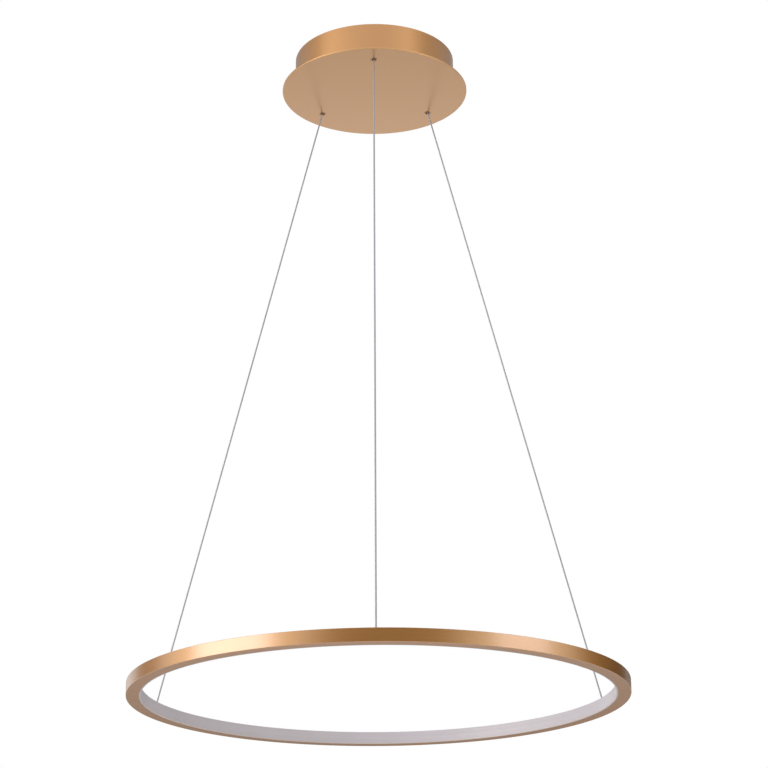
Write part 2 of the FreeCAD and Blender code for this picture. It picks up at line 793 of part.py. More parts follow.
def make_side_screws():
    """The two button-head screws through the drum into the bracket's lugs."""
    screws = []
    for index, side in enumerate((1, -1)):
        outline = [Vector(size(x), size(y), 0) for x, y in side_screw_outline()]
        profile = Part.makePolygon(outline + outline[:1])
        solid = Part.Face(profile).revolve(Vector(), Vector(1, 0, 0), 360)
        turn = Rotation(Vector(0, 0, 1), 90 - 90 * side)
        solid.Placement = Placement(Vector(0, 0, size("side_screw_level")), turn)
        screws.append(solid)
    made_piece("canopy_screws", Part.Compound(screws))


# ---------------------------------------------------------------- cable grippers


def bush_outline():
    """The nose of a gripper: a rim under the plate and a threaded shank through plate and drum floor."""
    return [
        ("bush_bore_diameter / 2", "bush_mouth - bush_rim_height"),
        ("bush_bore_diameter / 2 + bush_mouth", "-bush_rim_height"),
        ("bush_rim_diameter / 2 - bush_edge", "-bush_rim_height"),
        ("bush_rim_diameter / 2", "bush_edge - bush_rim_height"),
        ("bush_rim_diameter / 2", "0"),
        ("bush_diameter / 2", "0"),
        ("bush_diameter / 2", "bush_top"),
        ("bush_bore_diameter / 2", "bush_top"),
    ]


def barrel_outline():
    """The gripper's body: a threaded foot, a chamber for the spring and a cap that the cable leaves by."""
    return [
        ("bush_diameter / 2 + thread_play", "floor_lift"),
        ("barrel_diameter / 2", "floor_lift"),
        ("barrel_diameter / 2", "barrel_top - barrel_edge"),
        ("barrel_diameter / 2 - barrel_edge", "barrel_top"),
        ("cable_diameter / 2 + cap_play", "barrel_top"),
        ("cable_diameter / 2 + cap_play", "chamber_top"),
        ("chamber_diameter / 2", "chamber_top"),
        ("chamber_diameter / 2", "bush_top"),
        ("bush_diameter / 2 + thread_play", "bush_top"),
    ]


def plunger_outline():
    """The sleeve that is pushed up to let the cable slip, with the collar that the spring pushes on."""
    return [
        ("plunger_bore_diameter / 2", "plunger_recess"),
        ("plunger_radius - plunger_edge", "plunger_recess"),
        ("plunger_radius", "plunger_recess + plunger_edge"),
        ("plunger_radius", "bush_top"),
        ("collar_diameter / 2", "bush_top"),
        ("collar_diameter / 2", "collar_top"),
        ("plunger_radius", "collar_top"),
        ("plunger_radius", "collar_top + plunger_nose"),
        ("plunger_bore_diameter / 2", "collar_top + plunger_nose"),
    ]


def make_spring():
    """The spring between a plunger's collar and the barrel's cap: one wire on arcs that follow its coils."""
    wire = size("spring_wire")
    radius = size("chamber_diameter / 2 - spring_play") - wire / 2
    bottom = size("collar_top") + wire / 2
    climb = size("chamber_top - collar_top") - wire
    arcs = round(ARCS_PER_TURN * size("spring_turns"))
    half_step = math.pi / ARCS_PER_TURN
    corner_radius = radius / math.cos(half_step)
    corners = [Vector(radius, 0, bottom)]
    for index in range(arcs):
        angle = (2 * index + 1) * half_step
        height = bottom + climb * (index + 0.5) / arcs
        corners.append(Vector(corner_radius * math.cos(angle), corner_radius * math.sin(angle), height))
    last = 2 * arcs * half_step
    corners.append(Vector(radius * math.cos(last), radius * math.sin(last), bottom + climb))
    gap = climb / size("spring_turns") - wire
    print("gripper_spring least gap between coils", round(gap, 2), "mm")
    return tube_along("gripper_spring", corners, wire, 0)


def make_grippers():
    """A gripper at each cable hole."""
    for azimuth, name in canopy_stations():
        x, y = polar("hole_radius", azimuth)
        turned_piece(f"gripper_bush_{name}", bush_outline(), x, y, "plate_under", azimuth)
        turned_piece(f"gripper_plunger_{name}", plunger_outline(), x, y, "plate_under", azimuth)
        barrel = turned_piece(f"gripper_barrel_{name}", barrel_outline(), x, y, "plate_under", azimuth)
        add_foot(barrel)
        spring = made_piece(f"gripper_spring_{name}", make_spring())
        spring.Placement = Placement(
            Vector(size(x), size(y), size("plate_under")), Rotation(Vector(0, 0, 1), size(azimuth))
        )


def add_foot(body):
    """The hexagon at a gripper's foot, for a spanner."""
    sketch = new_sketch(body, "XY_Plane", "floor_lift")
    half = "barrel_foot_width / 2"
    corner = "barrel_foot_width / 2 * tan(30 deg)"
    long_corner = "barrel_foot_width / 2 / cos(30 deg)"
    draw_outline(
        sketch,
        [
            (long_corner, "0"),
            (corner, half),
            (f"-({corner})", half),
            (f"-({long_corner})", "0"),
            (f"-({corner})", f"-({half})"),
            (corner, f"-({half})"),
        ],
    )
    draw_circle(sketch, "0", "0", "barrel_diameter - barrel_edge")
    foot = body.newObject("PartDesign::Pad", body.Label + "_foot")
    foot.Profile = sketch
    bind(foot, Length="barrel_foot_height")
    doc.recompute()


# ---------------------------------------------------------------- cables


def point(radius, azimuth, height):
    """A point from expressions for its radius, azimuth and height."""
    x, y = polar(radius, azimuth)
    return Vector(size(x), size(y), size(height))


def make_cables():
    """Each cable's free stretch, straight from its socket to its bush, and its tail up through the gripper."""
    up = Vector(0, 0, 1)
    bend = size("cable_bend")
    for (high_azimuth, name), (low_azimuth, same) in zip(canopy_stations(), ring_stations()):
        foot = point("socket_radius", low_azimuth, "foot_level")
        hole = point("hole_radius", high_azimuth, "plate_under - bush_rim_height")
        lean = (hole - foot).getAngle(up)
        sideways = Vector(foot.x - hole.x, foot.y - hole.y, 0).normalize()
        mouth = hole + sideways * (bend * (1 - math.cos(lean)))
        span = mouth - foot
        stretch = doc.addObject("Part::Cylinder", f"cable_{name}")
        bind(stretch, Radius="cable_diameter / 2")
        stretch.Height = span.Length
        stretch.Placement = Placement(foot, Rotation(up, span))

        along = Vector(span).normalize()
        arc_end = hole + up * (bend * math.sin(lean))
        middle_lean = lean / 2
        arc_middle = (
            hole
            + sideways * (bend * (1 - math.cos(middle_lean)))
            + up * (bend * (math.sin(lean) - math.sin(middle_lean)))
        )
        tail_end = Vector(hole.x, hole.y, size("tail_top"))
        bent = Part.Arc(mouth, arc_middle, arc_end).toShape()
        upright = Part.LineSegment(arc_end, tail_end).toShape()
        tail = swept(stretch.Label, [bent, upright], size("cable_diameter"), mouth, along)
        made_piece(f"cable_tail_{name}", tail)
        print(stretch.Label, "straight for", round(span.Length, 1), "mm, then radius", bend, "mm")


# ---------------------------------------------------------------- driver, terminals and leads


def driver_screw_places():
    """Where the driver's two screws stand."""
    reach = "(driver_length / 2 + driver_ear / 2)"
    return [(f"{side} * {reach}", "-driver_setback") for side in ("-1", "1")]


def make_driver():
    """The LED driver with its two fixing ears, and its screws."""
    body = new_body("led_driver")
    half_length = "driver_length / 2"
    half_width = "driver_width / 2"
    pad(body, box_outline(f"-{half_length}", half_length, f"-{half_width}", half_width), "driver_height")
    upright = edges_where(body, lambda edge: abs(edge.tangentAt(edge.FirstParameter).z) > 0.99)
    bind(dress(body, "Fillet", upright), Radius="driver_corner")
    doc.recompute()
    top = size("driver_height")
    rim = edges_where(body, lambda edge: abs(edge.BoundBox.ZMin - top) < 1e-6)
    bind(dress(body, "Chamfer", rim), Size="driver_edge")
    doc.recompute()
    reach = f"{half_length} + driver_ear"
    pad(
        body,
        box_outline(f"-({reach})", reach, "-driver_ear", "driver_ear"),
        "driver_ear_height",
    )
    holes = [(f"{side} * (driver_length / 2 + driver_ear / 2)", "0") for side in ("-1", "1")]
    drill(body, holes, "driver_screw_diameter + 2 * screw_clearance", upwards=True)
    place(body, y="-driver_setback", z="floor_top")
    screws = [
        pan_screw(
            f"driver_screw_{index}",
            "driver_screw_head",
            "driver_screw_head_height",
            "driver_screw_diameter",
            "driver_ear_height + drum_wall",
            x,
            y,
            "floor_top + driver_ear_height",
        )
        for index, (x, y) in enumerate(driver_screw_places())
    ]
    group("driver_screws", screws)


def pole_offsets():
    """Offsets of the three poles along X."""
    return [f"{index} * terminal_pitch" for index in ("-1", "0", "1")]


def make_terminals():
    """The three-pole block for the house wiring, and its six clamp screws."""
    body = new_body("terminal_block")
    half = "1.5 * terminal_pitch"
    depth = "terminal_depth / 2"
    step = "terminal_height - terminal_slope"
    pad(
        body,
        [
            (f"-{depth}", "0"),
            (depth, "0"),
            (depth, step),
            (f"{depth} - terminal_shoulder", "terminal_height"),
            (f"terminal_shoulder - {depth}", "terminal_height"),
            (f"-{depth}", step),
        ],
        "3 * terminal_pitch",
        plane="YZ_Plane",
        lift=f"-({half})",
    )
    mouths = new_sketch(body, "XZ_Plane", "-terminal_depth")
    for offset in pole_offsets():
        draw_circle(mouths, offset, "terminal_mouth_height", "terminal_mouth_diameter")
    cut(body, mouths, upwards=True)
    wells = new_sketch(body, "XY_Plane", "terminal_height")
    rows = ("terminal_screw_offset", "-terminal_screw_offset")
    for offset in pole_offsets():
        for row in rows:
            draw_circle(wells, offset, row, "terminal_well_diameter")
    cut(body, wells, depth="terminal_well_depth")
    place(body, y="terminal_setback", z="floor_top")
    screws = []
    for column, offset in enumerate(pole_offsets()):
        for line, row in enumerate(rows):
            screws.append(
                cylinder(
                    f"clamp_screw_{column}_{line}",
                    "terminal_well_diameter - 2 * terminal_screw_play",
                    "terminal_screw_height",
                    offset,
                    f"terminal_setback + {row}",
                    "floor_top + terminal_height - terminal_well_depth",
                )
            )
    group("terminal_screws", screws)


def make_earth():
    """The earth screw, with the ring tag under its head."""
    x, y = polar("earth_radius", "earth_azimuth")
    turned_piece(
        "earth_terminal",
        [
            ("0", "0"),
            ("earth_tag_diameter / 2", "0"),
            ("earth_tag_diameter / 2", "earth_tag_thickness"),
            ("earth_head_diameter / 2", "earth_tag_thickness"),
            ("earth_head_diameter / 2", "earth_tag_thickness + earth_head_height"),
            ("0", "earth_tag_thickness + earth_head_height"),
        ],
        x,
        y,
        "floor_top",
    )


def corner_at(x, y, z):
    """A point from three expressions."""
    return Vector(size(x), size(y), size(z))


def make_leads():
    """The insulated leads inside the canopy, each one unbroken run between the pieces that it joins."""
    block_face = "(terminal_setback - terminal_depth / 2)"
    driver_back = "(driver_width / 2 - driver_setback)"
    entry = "floor_top + terminal_mouth_height"
    mains = []
    for pole in ("-terminal_pitch", "0"):
        shifted = f"{pole} - lead_shift"
        route = [
            corner_at(pole, f"{block_face} + lead_push", entry),
            corner_at(pole, f"{block_face} - lead_reach", entry),
            corner_at(shifted, f"({block_face} + {driver_back}) / 2", entry),
            corner_at(shifted, driver_back, entry),
        ]
        mains.append(tube_along("mains_leads", route, size("lead_diameter"), size("lead_straight")))
    made_piece("mains_leads", Part.Compound(mains))

    feeds = []
    for side, azimuth in (("1", "canopy_rear_azimuth"), ("-1", "180 - canopy_rear_azimuth")):
        x, y = polar("hole_radius", azimuth)
        drop_x = f"{side} * (driver_length / 2 - feed_inset)"
        drop_y = f"{driver_back} + feed_reach"
        route = [
            corner_at(x, y, "tail_top"),
            corner_at(x, y, "tail_top + feed_rise"),
            corner_at(f"{x} - {side} * feed_turn", f"{y} - feed_turn", "tail_top + feed_rise"),
            corner_at(drop_x, drop_y, "tail_top + feed_rise - feed_dip"),
            corner_at(drop_x, drop_y, "floor_top + driver_height / 2"),
            corner_at(drop_x, driver_back, "floor_top + driver_height / 2"),
        ]
        feeds.append(tube_along("feed_leads", route, size("cable_diameter"), size("feed_straight")))
    made_piece("feed_leads", Part.Compound(feeds))


# ---------------------------------------------------------------- assembly


def make_ring():
    """Everything that hangs."""
    make_half_ring("ring_front", FRONT, ["front_azimuth"])
    make_half_ring("ring_rear", REAR, ["ring_rear_azimuth", "(180 - ring_rear_azimuth)"])
    for label, turn in (("diffuser_front", FRONT), ("diffuser_rear", REAR)):
        turned_piece(label, diffuser_outline(), z="ring_level", turn=turn, angle="180 - seam_angle")
    make_strip()
    make_splices()
    nuts = []
    for azimuth, name in ring_stations():
        x, y = polar("socket_radius", azimuth)
        turned_piece(f"socket_{name}", socket_outline(), x, y, "ring_level", azimuth)
        turned_piece(f"cable_crimp_{name}", crimp_outline(), x, y, "ring_level", azimuth)
        nuts.append(make_nut(name, x, y))
    group("socket_nuts", nuts)
    leads = [
        strip_lead("strip_leads", azimuth)
        for azimuth in ("ring_rear_azimuth", "180 - ring_rear_azimuth")
    ]
    made_piece("strip_leads", Part.Compound(leads))


def inner_objects():
    """Objects that only serve to build another one."""
    used = set()
    for item in doc.Objects:
        if item.TypeId in ("Part::Compound", "Part::Cut", "Part::Fuse"):
            used.update(other.Name for other in item.OutList)
    return used


def sub_parts():
    """The objects that are pieces of the light."""
    inner = inner_objects()
    pieces = []
    for item in doc.Objects:
        is_body = item.TypeId == "PartDesign::Body"
        is_part = item.TypeId.startswith("Part::") and item.Name not in inner
        if is_body or (is_part and item.getParentGeoFeatureGroup() is None):
            pieces.append(item)
    return pieces


def check():
    """Stops if an object failed or a sub-part has no valid shape."""
    for item in doc.Objects:
        if {"Invalid", "Error"} & set(item.State):
            raise ValueError(f"{item.Label} is {item.State}")
    for item in sub_parts():
        if item.Shape.isNull() or not item.Shape.isValid():
            raise ValueError(f"{item.Label} has no valid shape")


def write():
    """Writes each sub-part to its own file."""
    os.makedirs("parts", exist_ok=True)
    for item in sub_parts():
        item.Shape.exportStep(f"parts/{item.Label}.step")


fill_sheet()
make_ring()
make_canopy()
make_bracket()
make_side_screws()
make_grippers()
make_cables()
make_driver()
make_terminals()
make_earth()
make_leads()
doc.recompute()
check()
write()
for piece in sub_parts():
    print(piece.Label, len(piece.Shape.Solids), "solid(s),", round(piece.Shape.Volume), "mm3")
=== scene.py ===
"""LED ring pendant: a thin gold ring with an opal inner face, hung level on three cables.

Metres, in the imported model's frame: the origin on the ceiling, +Z up and -Y the front of the light.
"""

import logging
import math
from collections.abc import Callable, Iterable
from dataclasses import dataclass
from enum import Enum
from typing import Any

import bmesh
import bpy
from bmesh.types import BMesh
from bpy.types import ID, Material, Mesh, Node, NodeSocket, Object
from mathutils import Matrix, Vector


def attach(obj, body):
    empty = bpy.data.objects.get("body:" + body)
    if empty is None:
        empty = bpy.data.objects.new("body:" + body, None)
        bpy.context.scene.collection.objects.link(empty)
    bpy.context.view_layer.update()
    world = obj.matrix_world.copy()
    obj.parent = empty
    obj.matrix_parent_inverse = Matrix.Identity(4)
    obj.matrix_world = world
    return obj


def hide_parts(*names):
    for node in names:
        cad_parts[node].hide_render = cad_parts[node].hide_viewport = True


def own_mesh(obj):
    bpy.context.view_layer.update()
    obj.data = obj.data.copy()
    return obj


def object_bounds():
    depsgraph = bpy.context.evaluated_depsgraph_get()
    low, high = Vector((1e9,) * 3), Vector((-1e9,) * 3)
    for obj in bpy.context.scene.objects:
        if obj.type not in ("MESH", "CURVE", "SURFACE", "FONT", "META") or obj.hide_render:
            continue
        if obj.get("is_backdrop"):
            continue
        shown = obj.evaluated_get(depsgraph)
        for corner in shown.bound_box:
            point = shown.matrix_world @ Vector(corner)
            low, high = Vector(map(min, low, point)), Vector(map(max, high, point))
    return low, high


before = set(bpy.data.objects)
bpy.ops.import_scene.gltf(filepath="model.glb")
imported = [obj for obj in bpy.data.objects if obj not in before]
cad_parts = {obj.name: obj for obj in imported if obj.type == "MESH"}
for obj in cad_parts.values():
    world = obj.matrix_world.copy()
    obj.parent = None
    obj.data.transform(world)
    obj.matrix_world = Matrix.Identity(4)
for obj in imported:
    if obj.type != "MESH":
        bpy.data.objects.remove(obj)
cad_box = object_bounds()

log = logging.getLogger("pendant")

Point = Shade = tuple[float, float, float]
Pair = tuple[float, float]
Profile = list[Pair]
Settings = dict[str, Any] | None
Inputs = dict[int | str, Any] | None

# What several pieces share: two levels, the radius of the cable holes in the canopy, the middle of
# the light, and the azimuths of each cable at the canopy and at the ring.
MOUTH_LEVEL = -0.0455
RING_LEVEL = -0.845
HOLE_RADIUS = 0.092
MIDDLE = Vector((0.0, 0.0, -0.6))
AZIMUTHS = {"front": (270, 270), "right": (40, 20), "left": (140, 160)}


def linear(shade: Shade) -> tuple[float, float, float, float]:
    """Turns a colour as seen on a screen, 0 to 255, into the renderer's linear numbers.

    Args:
        shade: Red, green and blue, 0 to 255.

    Returns:
        Linear red, green, blue and an alpha of 1.
    """
    parts = [part / 255 for part in shade]
    red, green, blue = [
        part / 12.92 if part <= 0.04045 else ((part + 0.055) / 1.055) ** 2.4 for part in parts
    ]
    return (red, green, blue, 1.0)


# Shader graphs.


@dataclass(frozen=True)
class Field:
    """A number that varies over a surface: one output socket that takes part in arithmetic."""

    graph: "Graph"
    socket: NodeSocket

    def math(self, operation: str, *others: "Field | NodeSocket | float") -> "Field":
        """Adds one Math node that starts from this number."""
        return self.graph.math(operation, self, *others)

    def __add__(self, other: "Field | float") -> "Field":
        """This plus another."""
        return self.math("ADD", other)

    __radd__ = __add__

    def __mul__(self, other: "Field | float") -> "Field":
        """This times another."""
        return self.math("MULTIPLY", other)

    __rmul__ = __mul__

    def __sub__(self, other: "Field | float") -> "Field":
        """This less another."""
        return self.math("SUBTRACT", other)

    def __rsub__(self, other: float) -> "Field":
        """A plain number less this."""
        return self.graph.math("SUBTRACT", other, self)

    def __truediv__(self, other: "Field | float") -> "Field":
        """This over another."""
        return self.math("DIVIDE", other)

    def __pow__(self, other: "Field | float") -> "Field":
        """This to a power."""
        return self.math("POWER", other)

    def between(self, low: float, high: float) -> "Field":
        """0 below low, 1 above high, and a smooth rise from one to the other."""
        inputs = {"Value": self, "From Min": low, "From Max": high}
        return self.graph.field("MapRange", {"interpolation_type": "SMOOTHSTEP"}, inputs)


class Graph:
    """The node tree of a material or of the world, built up by calls."""

    def __init__(self, tree: bpy.types.NodeTree) -> None:
        """Empties the tree and holds it."""
        self.tree = tree
        tree.nodes.clear()

    def node(self, kind: str, settings: Settings = None, inputs: Inputs = None) -> Node:
        """Adds a node: its settings first, and then the values or links of its sockets.

        Args:
            kind: The node's type, without its prefix.
            settings: Its own settings by name.
            inputs: Values, fields or sockets, by the name or the place of the input.

        Returns:
            The new node.
        """
        made = self.tree.nodes.new("ShaderNode" + kind)
        for name, value in (settings or {}).items():
            setattr(made, name, value)
        for name, value in (inputs or {}).items():
            socket = value.socket if isinstance(value, Field) else value
            if isinstance(socket, NodeSocket):
                self.tree.links.new(socket, made.inputs[name])
            else:
                made.inputs[name].default_value = socket
        return made

    def field(self, kind: str, settings: Settings, inputs: Inputs, output: int | str = 0) -> Field:
        """Adds a node in the same way and holds one of its outputs as a number."""
        return Field(self, self.node(kind, settings, inputs).outputs[output])

    def math(self, operation: str, *inputs: Field | NodeSocket | float) -> Field:
        """Adds one Math node with numbers, fields or sockets in its inputs."""
        return self.field("Math", {"operation": operation}, dict(enumerate(inputs)))

    def place(self, chart: str = "Object") -> tuple[Field, ...]:
        """Reads where a point lies.

        Args:
            chart: Object for metres on the object, or UV for its own map.

        Returns:
            X, Y and Z.
        """
        where = {0: self.node("TexCoord").outputs[chart]}
        split = self.node("SeparateXYZ", None, where)
        return tuple(Field(self, part) for part in split.outputs)

    def vector(self, x: Field | float, y: Field | float, z: Field | float) -> NodeSocket:
        """Puts three numbers together as one vector."""
        return self.node("CombineXYZ", inputs={0: x, 1: y, 2: z}).outputs[0]

    def noise(self, where: NodeSocket, scale: float, detail: float = 2.0) -> Field:
        """Soft noise from 0 to 1.

        Args:
            where: The vector that it is read at.
            scale: Blotches per unit of that vector.
            detail: Octaves of finer noise.

        Returns:
            The noise.
        """
        inputs = {"Vector": where, "Scale": scale, "Detail": detail}
        return self.field("TexNoise", None, inputs)

    def cells(self, where: NodeSocket, scale: float) -> Field:
        """Distance to the nearest of many scattered points, as in a leathery or pebbled skin."""
        inputs = {"Vector": where, "Scale": scale}
        return self.field("TexVoronoi", None, inputs, "Distance")

    def blend(self, share: Field, first: Any, second: Any) -> NodeSocket:
        """Mixes two colours.

        Args:
            share: 0 for all of the first and 1 for all of the second.
            first: A linear colour or a colour socket.
            second: A linear colour or a colour socket.

        Returns:
            The mixed colour.
        """
        inputs = {0: share, 6: first, 7: second}
        return self.node("Mix", {"data_type": "RGBA"}, inputs).outputs[2]

    def mix(self, share: Field, first: Node, second: Node) -> Node:
        """Mixes two shaders: a share of 0 is all of the first and 1 all of the second."""
        inputs = {0: share, 1: first.outputs[0], 2: second.outputs[0]}
        return self.node("MixShader", inputs=inputs)

    def relief(self, height: Field, depth: float, strength: float = 1.0) -> NodeSocket:
        """A bumped normal from a height of 0 to 1.

        Args:
            height: The height.
            depth: What a height of 1 stands for, in metres.
            strength: Share of the relief that shows.

        Returns:
            The normal.
        """
        inputs = {"Height": height, "Distance": depth, "Strength": strength}
        return self.node("Bump", inputs=inputs).outputs[0]


def painted(name: str, shader: Callable[[Graph], Node]) -> Material:
    """Makes a material.

    Args:
        name: Its name.
        shader: Adds the surface's shader to the material's graph and returns it.

    Returns:
        The material.
    """
    made = bpy.data.materials.new(name)
    made.use_nodes = True
    graph = Graph(made.node_tree)
    graph.node("OutputMaterial", inputs={"Surface": shader(graph).outputs[0]})
    return made


# Finishes.


class Grain(Enum):
    """Which way the fine lines of a brushed metal run."""

    ROUND = "along the circumference"
    FLAT = "no lines, an even fine satin"


@dataclass(frozen=True)
class Finish:
    """What every finish has: a name and its own colour."""

    name: str
    shade: Shade

    def shader(self, graph: Graph) -> Node:
        """The finish as one Principled shader."""
        return graph.node("BsdfPrincipled", inputs=self.sockets(graph))

    def tint(self, factor: float) -> tuple[float, ...]:
        """The finish's colour, made lighter or darker."""
        return (*(min(part * factor, 1.0) for part in linear(self.shade)[:3]), 1.0)

    def sockets(self, graph: Graph) -> Inputs:
        """What goes into the Principled shader.

        Args:
            graph: The material's graph.

        Returns:
            Values and links by the name of the socket.
        """
        raise NotImplementedError


@dataclass(frozen=True)
class SatinMetal(Finish):
    """Anodised or lacquered metal with a fine satin surface."""

    grain: Grain = Grain.FLAT
    roughness: float = 0.3
    coat: float = 0.0
    coat_gloss: float = 0.235
    coat_index: float = 1.95
    streak: float = 0.05
    depth: float = 0.000004
    lines_per_metre: Pair = (650, 2600)
    lines_per_radian: Pair = (1.2, 4)
    grains_per_metre: Pair = (900, 3200)
    clouds_per_metre: float = 9

    def sockets(self, graph: Graph) -> Inputs:
        """Fine lines or grain over broad, faint clouds in colour and gloss.

        Args:
            graph: The material's graph.

        Returns:
            The shader's sockets.
        """
        x, y, z = graph.place()
        spot = graph.vector(x, y, z)
        if self.grain is Grain.ROUND:
            radius, turn = (x * x + y * y) ** 0.5, y.math("ARCTAN2", x)
            close, closer = (
                graph.vector(radius * across, z * across, turn * along)
                for across, along in zip(self.lines_per_metre, self.lines_per_radian)
            )
            lines, fine = graph.noise(close, 1.0), graph.noise(closer, 1.0, 1.0)
        else:
            coarse, small = self.grains_per_metre
            lines, fine = graph.noise(spot, coarse), graph.noise(spot, small, 1.0)
        clouds = graph.noise(spot, self.clouds_per_metre)
        mixed = lines * 0.6 + fine * 0.25 + clouds * 0.15
        dark, light = self.tint(1 - self.streak), self.tint(1 + self.streak)
        return {
            "Base Color": graph.blend(mixed.between(0.3, 0.7), dark, light),
            "Metallic": 1.0,
            "Roughness": (lines - 0.5) * 0.1 + (clouds - 0.5) * 0.06 + self.roughness,
            "Coat Weight": self.coat,
            "Coat Roughness": self.coat_gloss,
            "Coat IOR": self.coat_index,
            "Normal": graph.relief(lines * 0.7 + fine * 0.3, self.depth, 0.6),
        }


@dataclass(frozen=True)
class PlatedMetal(Finish):
    """Plated steel or brass: small flecks, faint wiping marks and duller patches."""

    roughness: float = 0.28
    fleck: float = 0.1
    flecks_per_metre: float = 1500
    marks_per_metre: Pair = (180, 2600)
    patches_per_metre: float = 70
    patch_tone: float = 0.72
    depth: float = 0.00003

    def sockets(self, graph: Graph) -> Inputs:
        """Flecks of the plating, drawn-out marks and slow changes in gloss.

        Args:
            graph: The material's graph.

        Returns:
            The shader's sockets.
        """
        x, y, z = graph.place()
        spot = graph.vector(x, y, z)
        flecks = graph.cells(spot, self.flecks_per_metre)
        level, upright = self.marks_per_metre
        marks = graph.noise(graph.vector(x * level, y * level, z * upright), 1.0)
        dull = graph.noise(spot, self.patches_per_metre, 3.0)
        light = (flecks * 0.5 + marks * 0.5).between(0.2, 0.8)
        colour = graph.blend(light, self.tint(1 - self.fleck), self.tint(1 + self.fleck))
        return {
            "Base Color": graph.blend(dull.between(0.55, 0.8), colour, self.tint(self.patch_tone)),
            "Metallic": 1.0,
            "Roughness": (dull - 0.5) * 0.3 + (marks - 0.5) * 0.12 + self.roughness,
            "Normal": graph.relief(marks * 0.5 + flecks * 0.5, self.depth, 0.4),
        }


@dataclass(frozen=True)
class BoredMetal(PlatedMetal):
    """Plated metal whose bore, above the level of its mouth, is painted dark: painted shade inside
    the hole.
    """

    mouth: float = MOUTH_LEVEL
    lip: float = 0.00014
    bore_painted_shade: Shade = (30, 24, 20)

    def sockets(self, graph: Graph) -> Inputs:
        """The plating, and the painted shade in the bore, which starts at a narrow lip.

        Args:
            graph: The material's graph.

        Returns:
            The shader's sockets.
        """
        plating = super().sockets(graph)
        _, _, z = graph.place()
        # Painted shade: above the lip the bore is coloured near black, where shade falls in the hole.
        inside = z.between(self.mouth + self.lip / 2, self.mouth + self.lip)
        plating["Base Color"] = graph.blend(inside, plating["Base Color"], linear(self.bore_painted_shade))
        return plating


@dataclass(frozen=True)
class MouldedPlastic(Finish):
    """Injection-moulded plastic with a fine spark-eroded skin."""

    roughness: float = 0.48
    pebbles_per_metre: float = 2600
    flows_per_metre: float = 26
    depth: float = 0.00004

    def sockets(self, graph: Graph) -> Inputs:
        """Pebbled skin with faint flow clouds.

        Args:
            graph: The material's graph.

        Returns:
            The shader's sockets.
        """
        x, y, z = graph.place()
        skin = graph.cells(graph.vector(x, y, z), self.pebbles_per_metre)
        flow = graph.noise(graph.vector(x, y * 0.4, z), self.flows_per_metre, 3.0)
        return {
            "Base Color": graph.blend(flow.between(0.3, 0.7), self.tint(0.95), self.tint(1.03)),
            "Roughness": (flow - 0.5) * 0.14 + (skin - 0.4) * 0.1 + self.roughness,
            "Specular IOR Level": 0.45,
            "Normal": graph.relief(skin, self.depth, 0.35),
        }


@dataclass(frozen=True)
class OpalPlastic(Finish):
    """Extruded opal acrylic: matt and milky, with faint long lines and a painted sheen along its
    lower rim.
    """

    # Colour of the painted sheen along the lower rim.
    rim_sheen_shade: Shade = (230, 210, 193)
    level: float = RING_LEVEL
    half_height: float = 0.00775
    # Where the painted sheen on the lower rim starts and ends, as shares of the half height below the
    # middle.
    rim: tuple[float, float, float, float] = (0.86, 0.92, 0.975, 0.995)
    roughness: float = 0.42
    lines_per_metre: float = 600
    clouds_per_metre: float = 14
    depth: float = 0.00003

    def sockets(self, graph: Graph) -> Inputs:
        """Long lines along the ring, faint clouds, and a painted sheen on the lower rim, placed by
        shares of the half height.

        Args:
            graph: The material's graph.

        Returns:
            The shader's sockets.
        """
        x, y, z = graph.place()
        radius, turn = (x * x + y * y) ** 0.5, y.math("ARCTAN2", x)
        across, up = radius * self.lines_per_metre, z * self.lines_per_metre
        lines = graph.noise(graph.vector(across, up, turn * 1.2), 1.0, 1.0)
        clouds = graph.noise(graph.vector(x, y, z), self.clouds_per_metre)
        # Painted sheen: a warm band along the lower rim, where light from below falls on the face.
        below = (self.level - z) / self.half_height
        rim = below.between(*self.rim[:2]) * (1 - below.between(*self.rim[2:]))
        share = (lines * 0.5 + clouds * 0.5).between(0.3, 0.7)
        body = graph.blend(share, self.tint(0.95), self.tint(1.03))
        return {
            "Base Color": graph.blend(rim, body, linear(self.rim_sheen_shade)),
            "Roughness": (clouds - 0.5) * 0.1 + (lines - 0.5) * 0.06 + self.roughness,
            "Specular IOR Level": 0.4,
            "Normal": graph.relief(lines, self.depth, 0.3),
        }


@dataclass(frozen=True)
class StrandedSheath(Finish):
    """Fine strands in a clear sheath: silver-grey with slanting lines."""

    strands: float = 6.0
    lay: float = 0.018
    wear_round: float = 3
    wear_per_metre: float = 60
    roughness: float = 0.38
    depth: float = 0.00004

    def sockets(self, graph: Graph) -> Inputs:
        """Slanting strands under a glossy skin, read from the tube's own map.

        Args:
            graph: The material's graph.

        Returns:
            The shader's sockets.
        """
        across, along, _ = graph.place("UV")
        phase = (across * self.strands + along / self.lay) * (2 * math.pi)
        strand = phase.math("SINE") * 0.5 + 0.5
        wear = graph.vector(across * self.wear_round, along * self.wear_per_metre, 0.0)
        worn = graph.noise(wear, 1.0, 3.0)
        return {
            "Base Color": graph.blend(strand * 0.7 + worn * 0.3, self.tint(0.9), self.tint(1.08)),
            "Metallic": 0.15,
            "Roughness": (worn - 0.5) * 0.15 + self.roughness,
            "Normal": graph.relief(strand, self.depth, 0.5),
        }


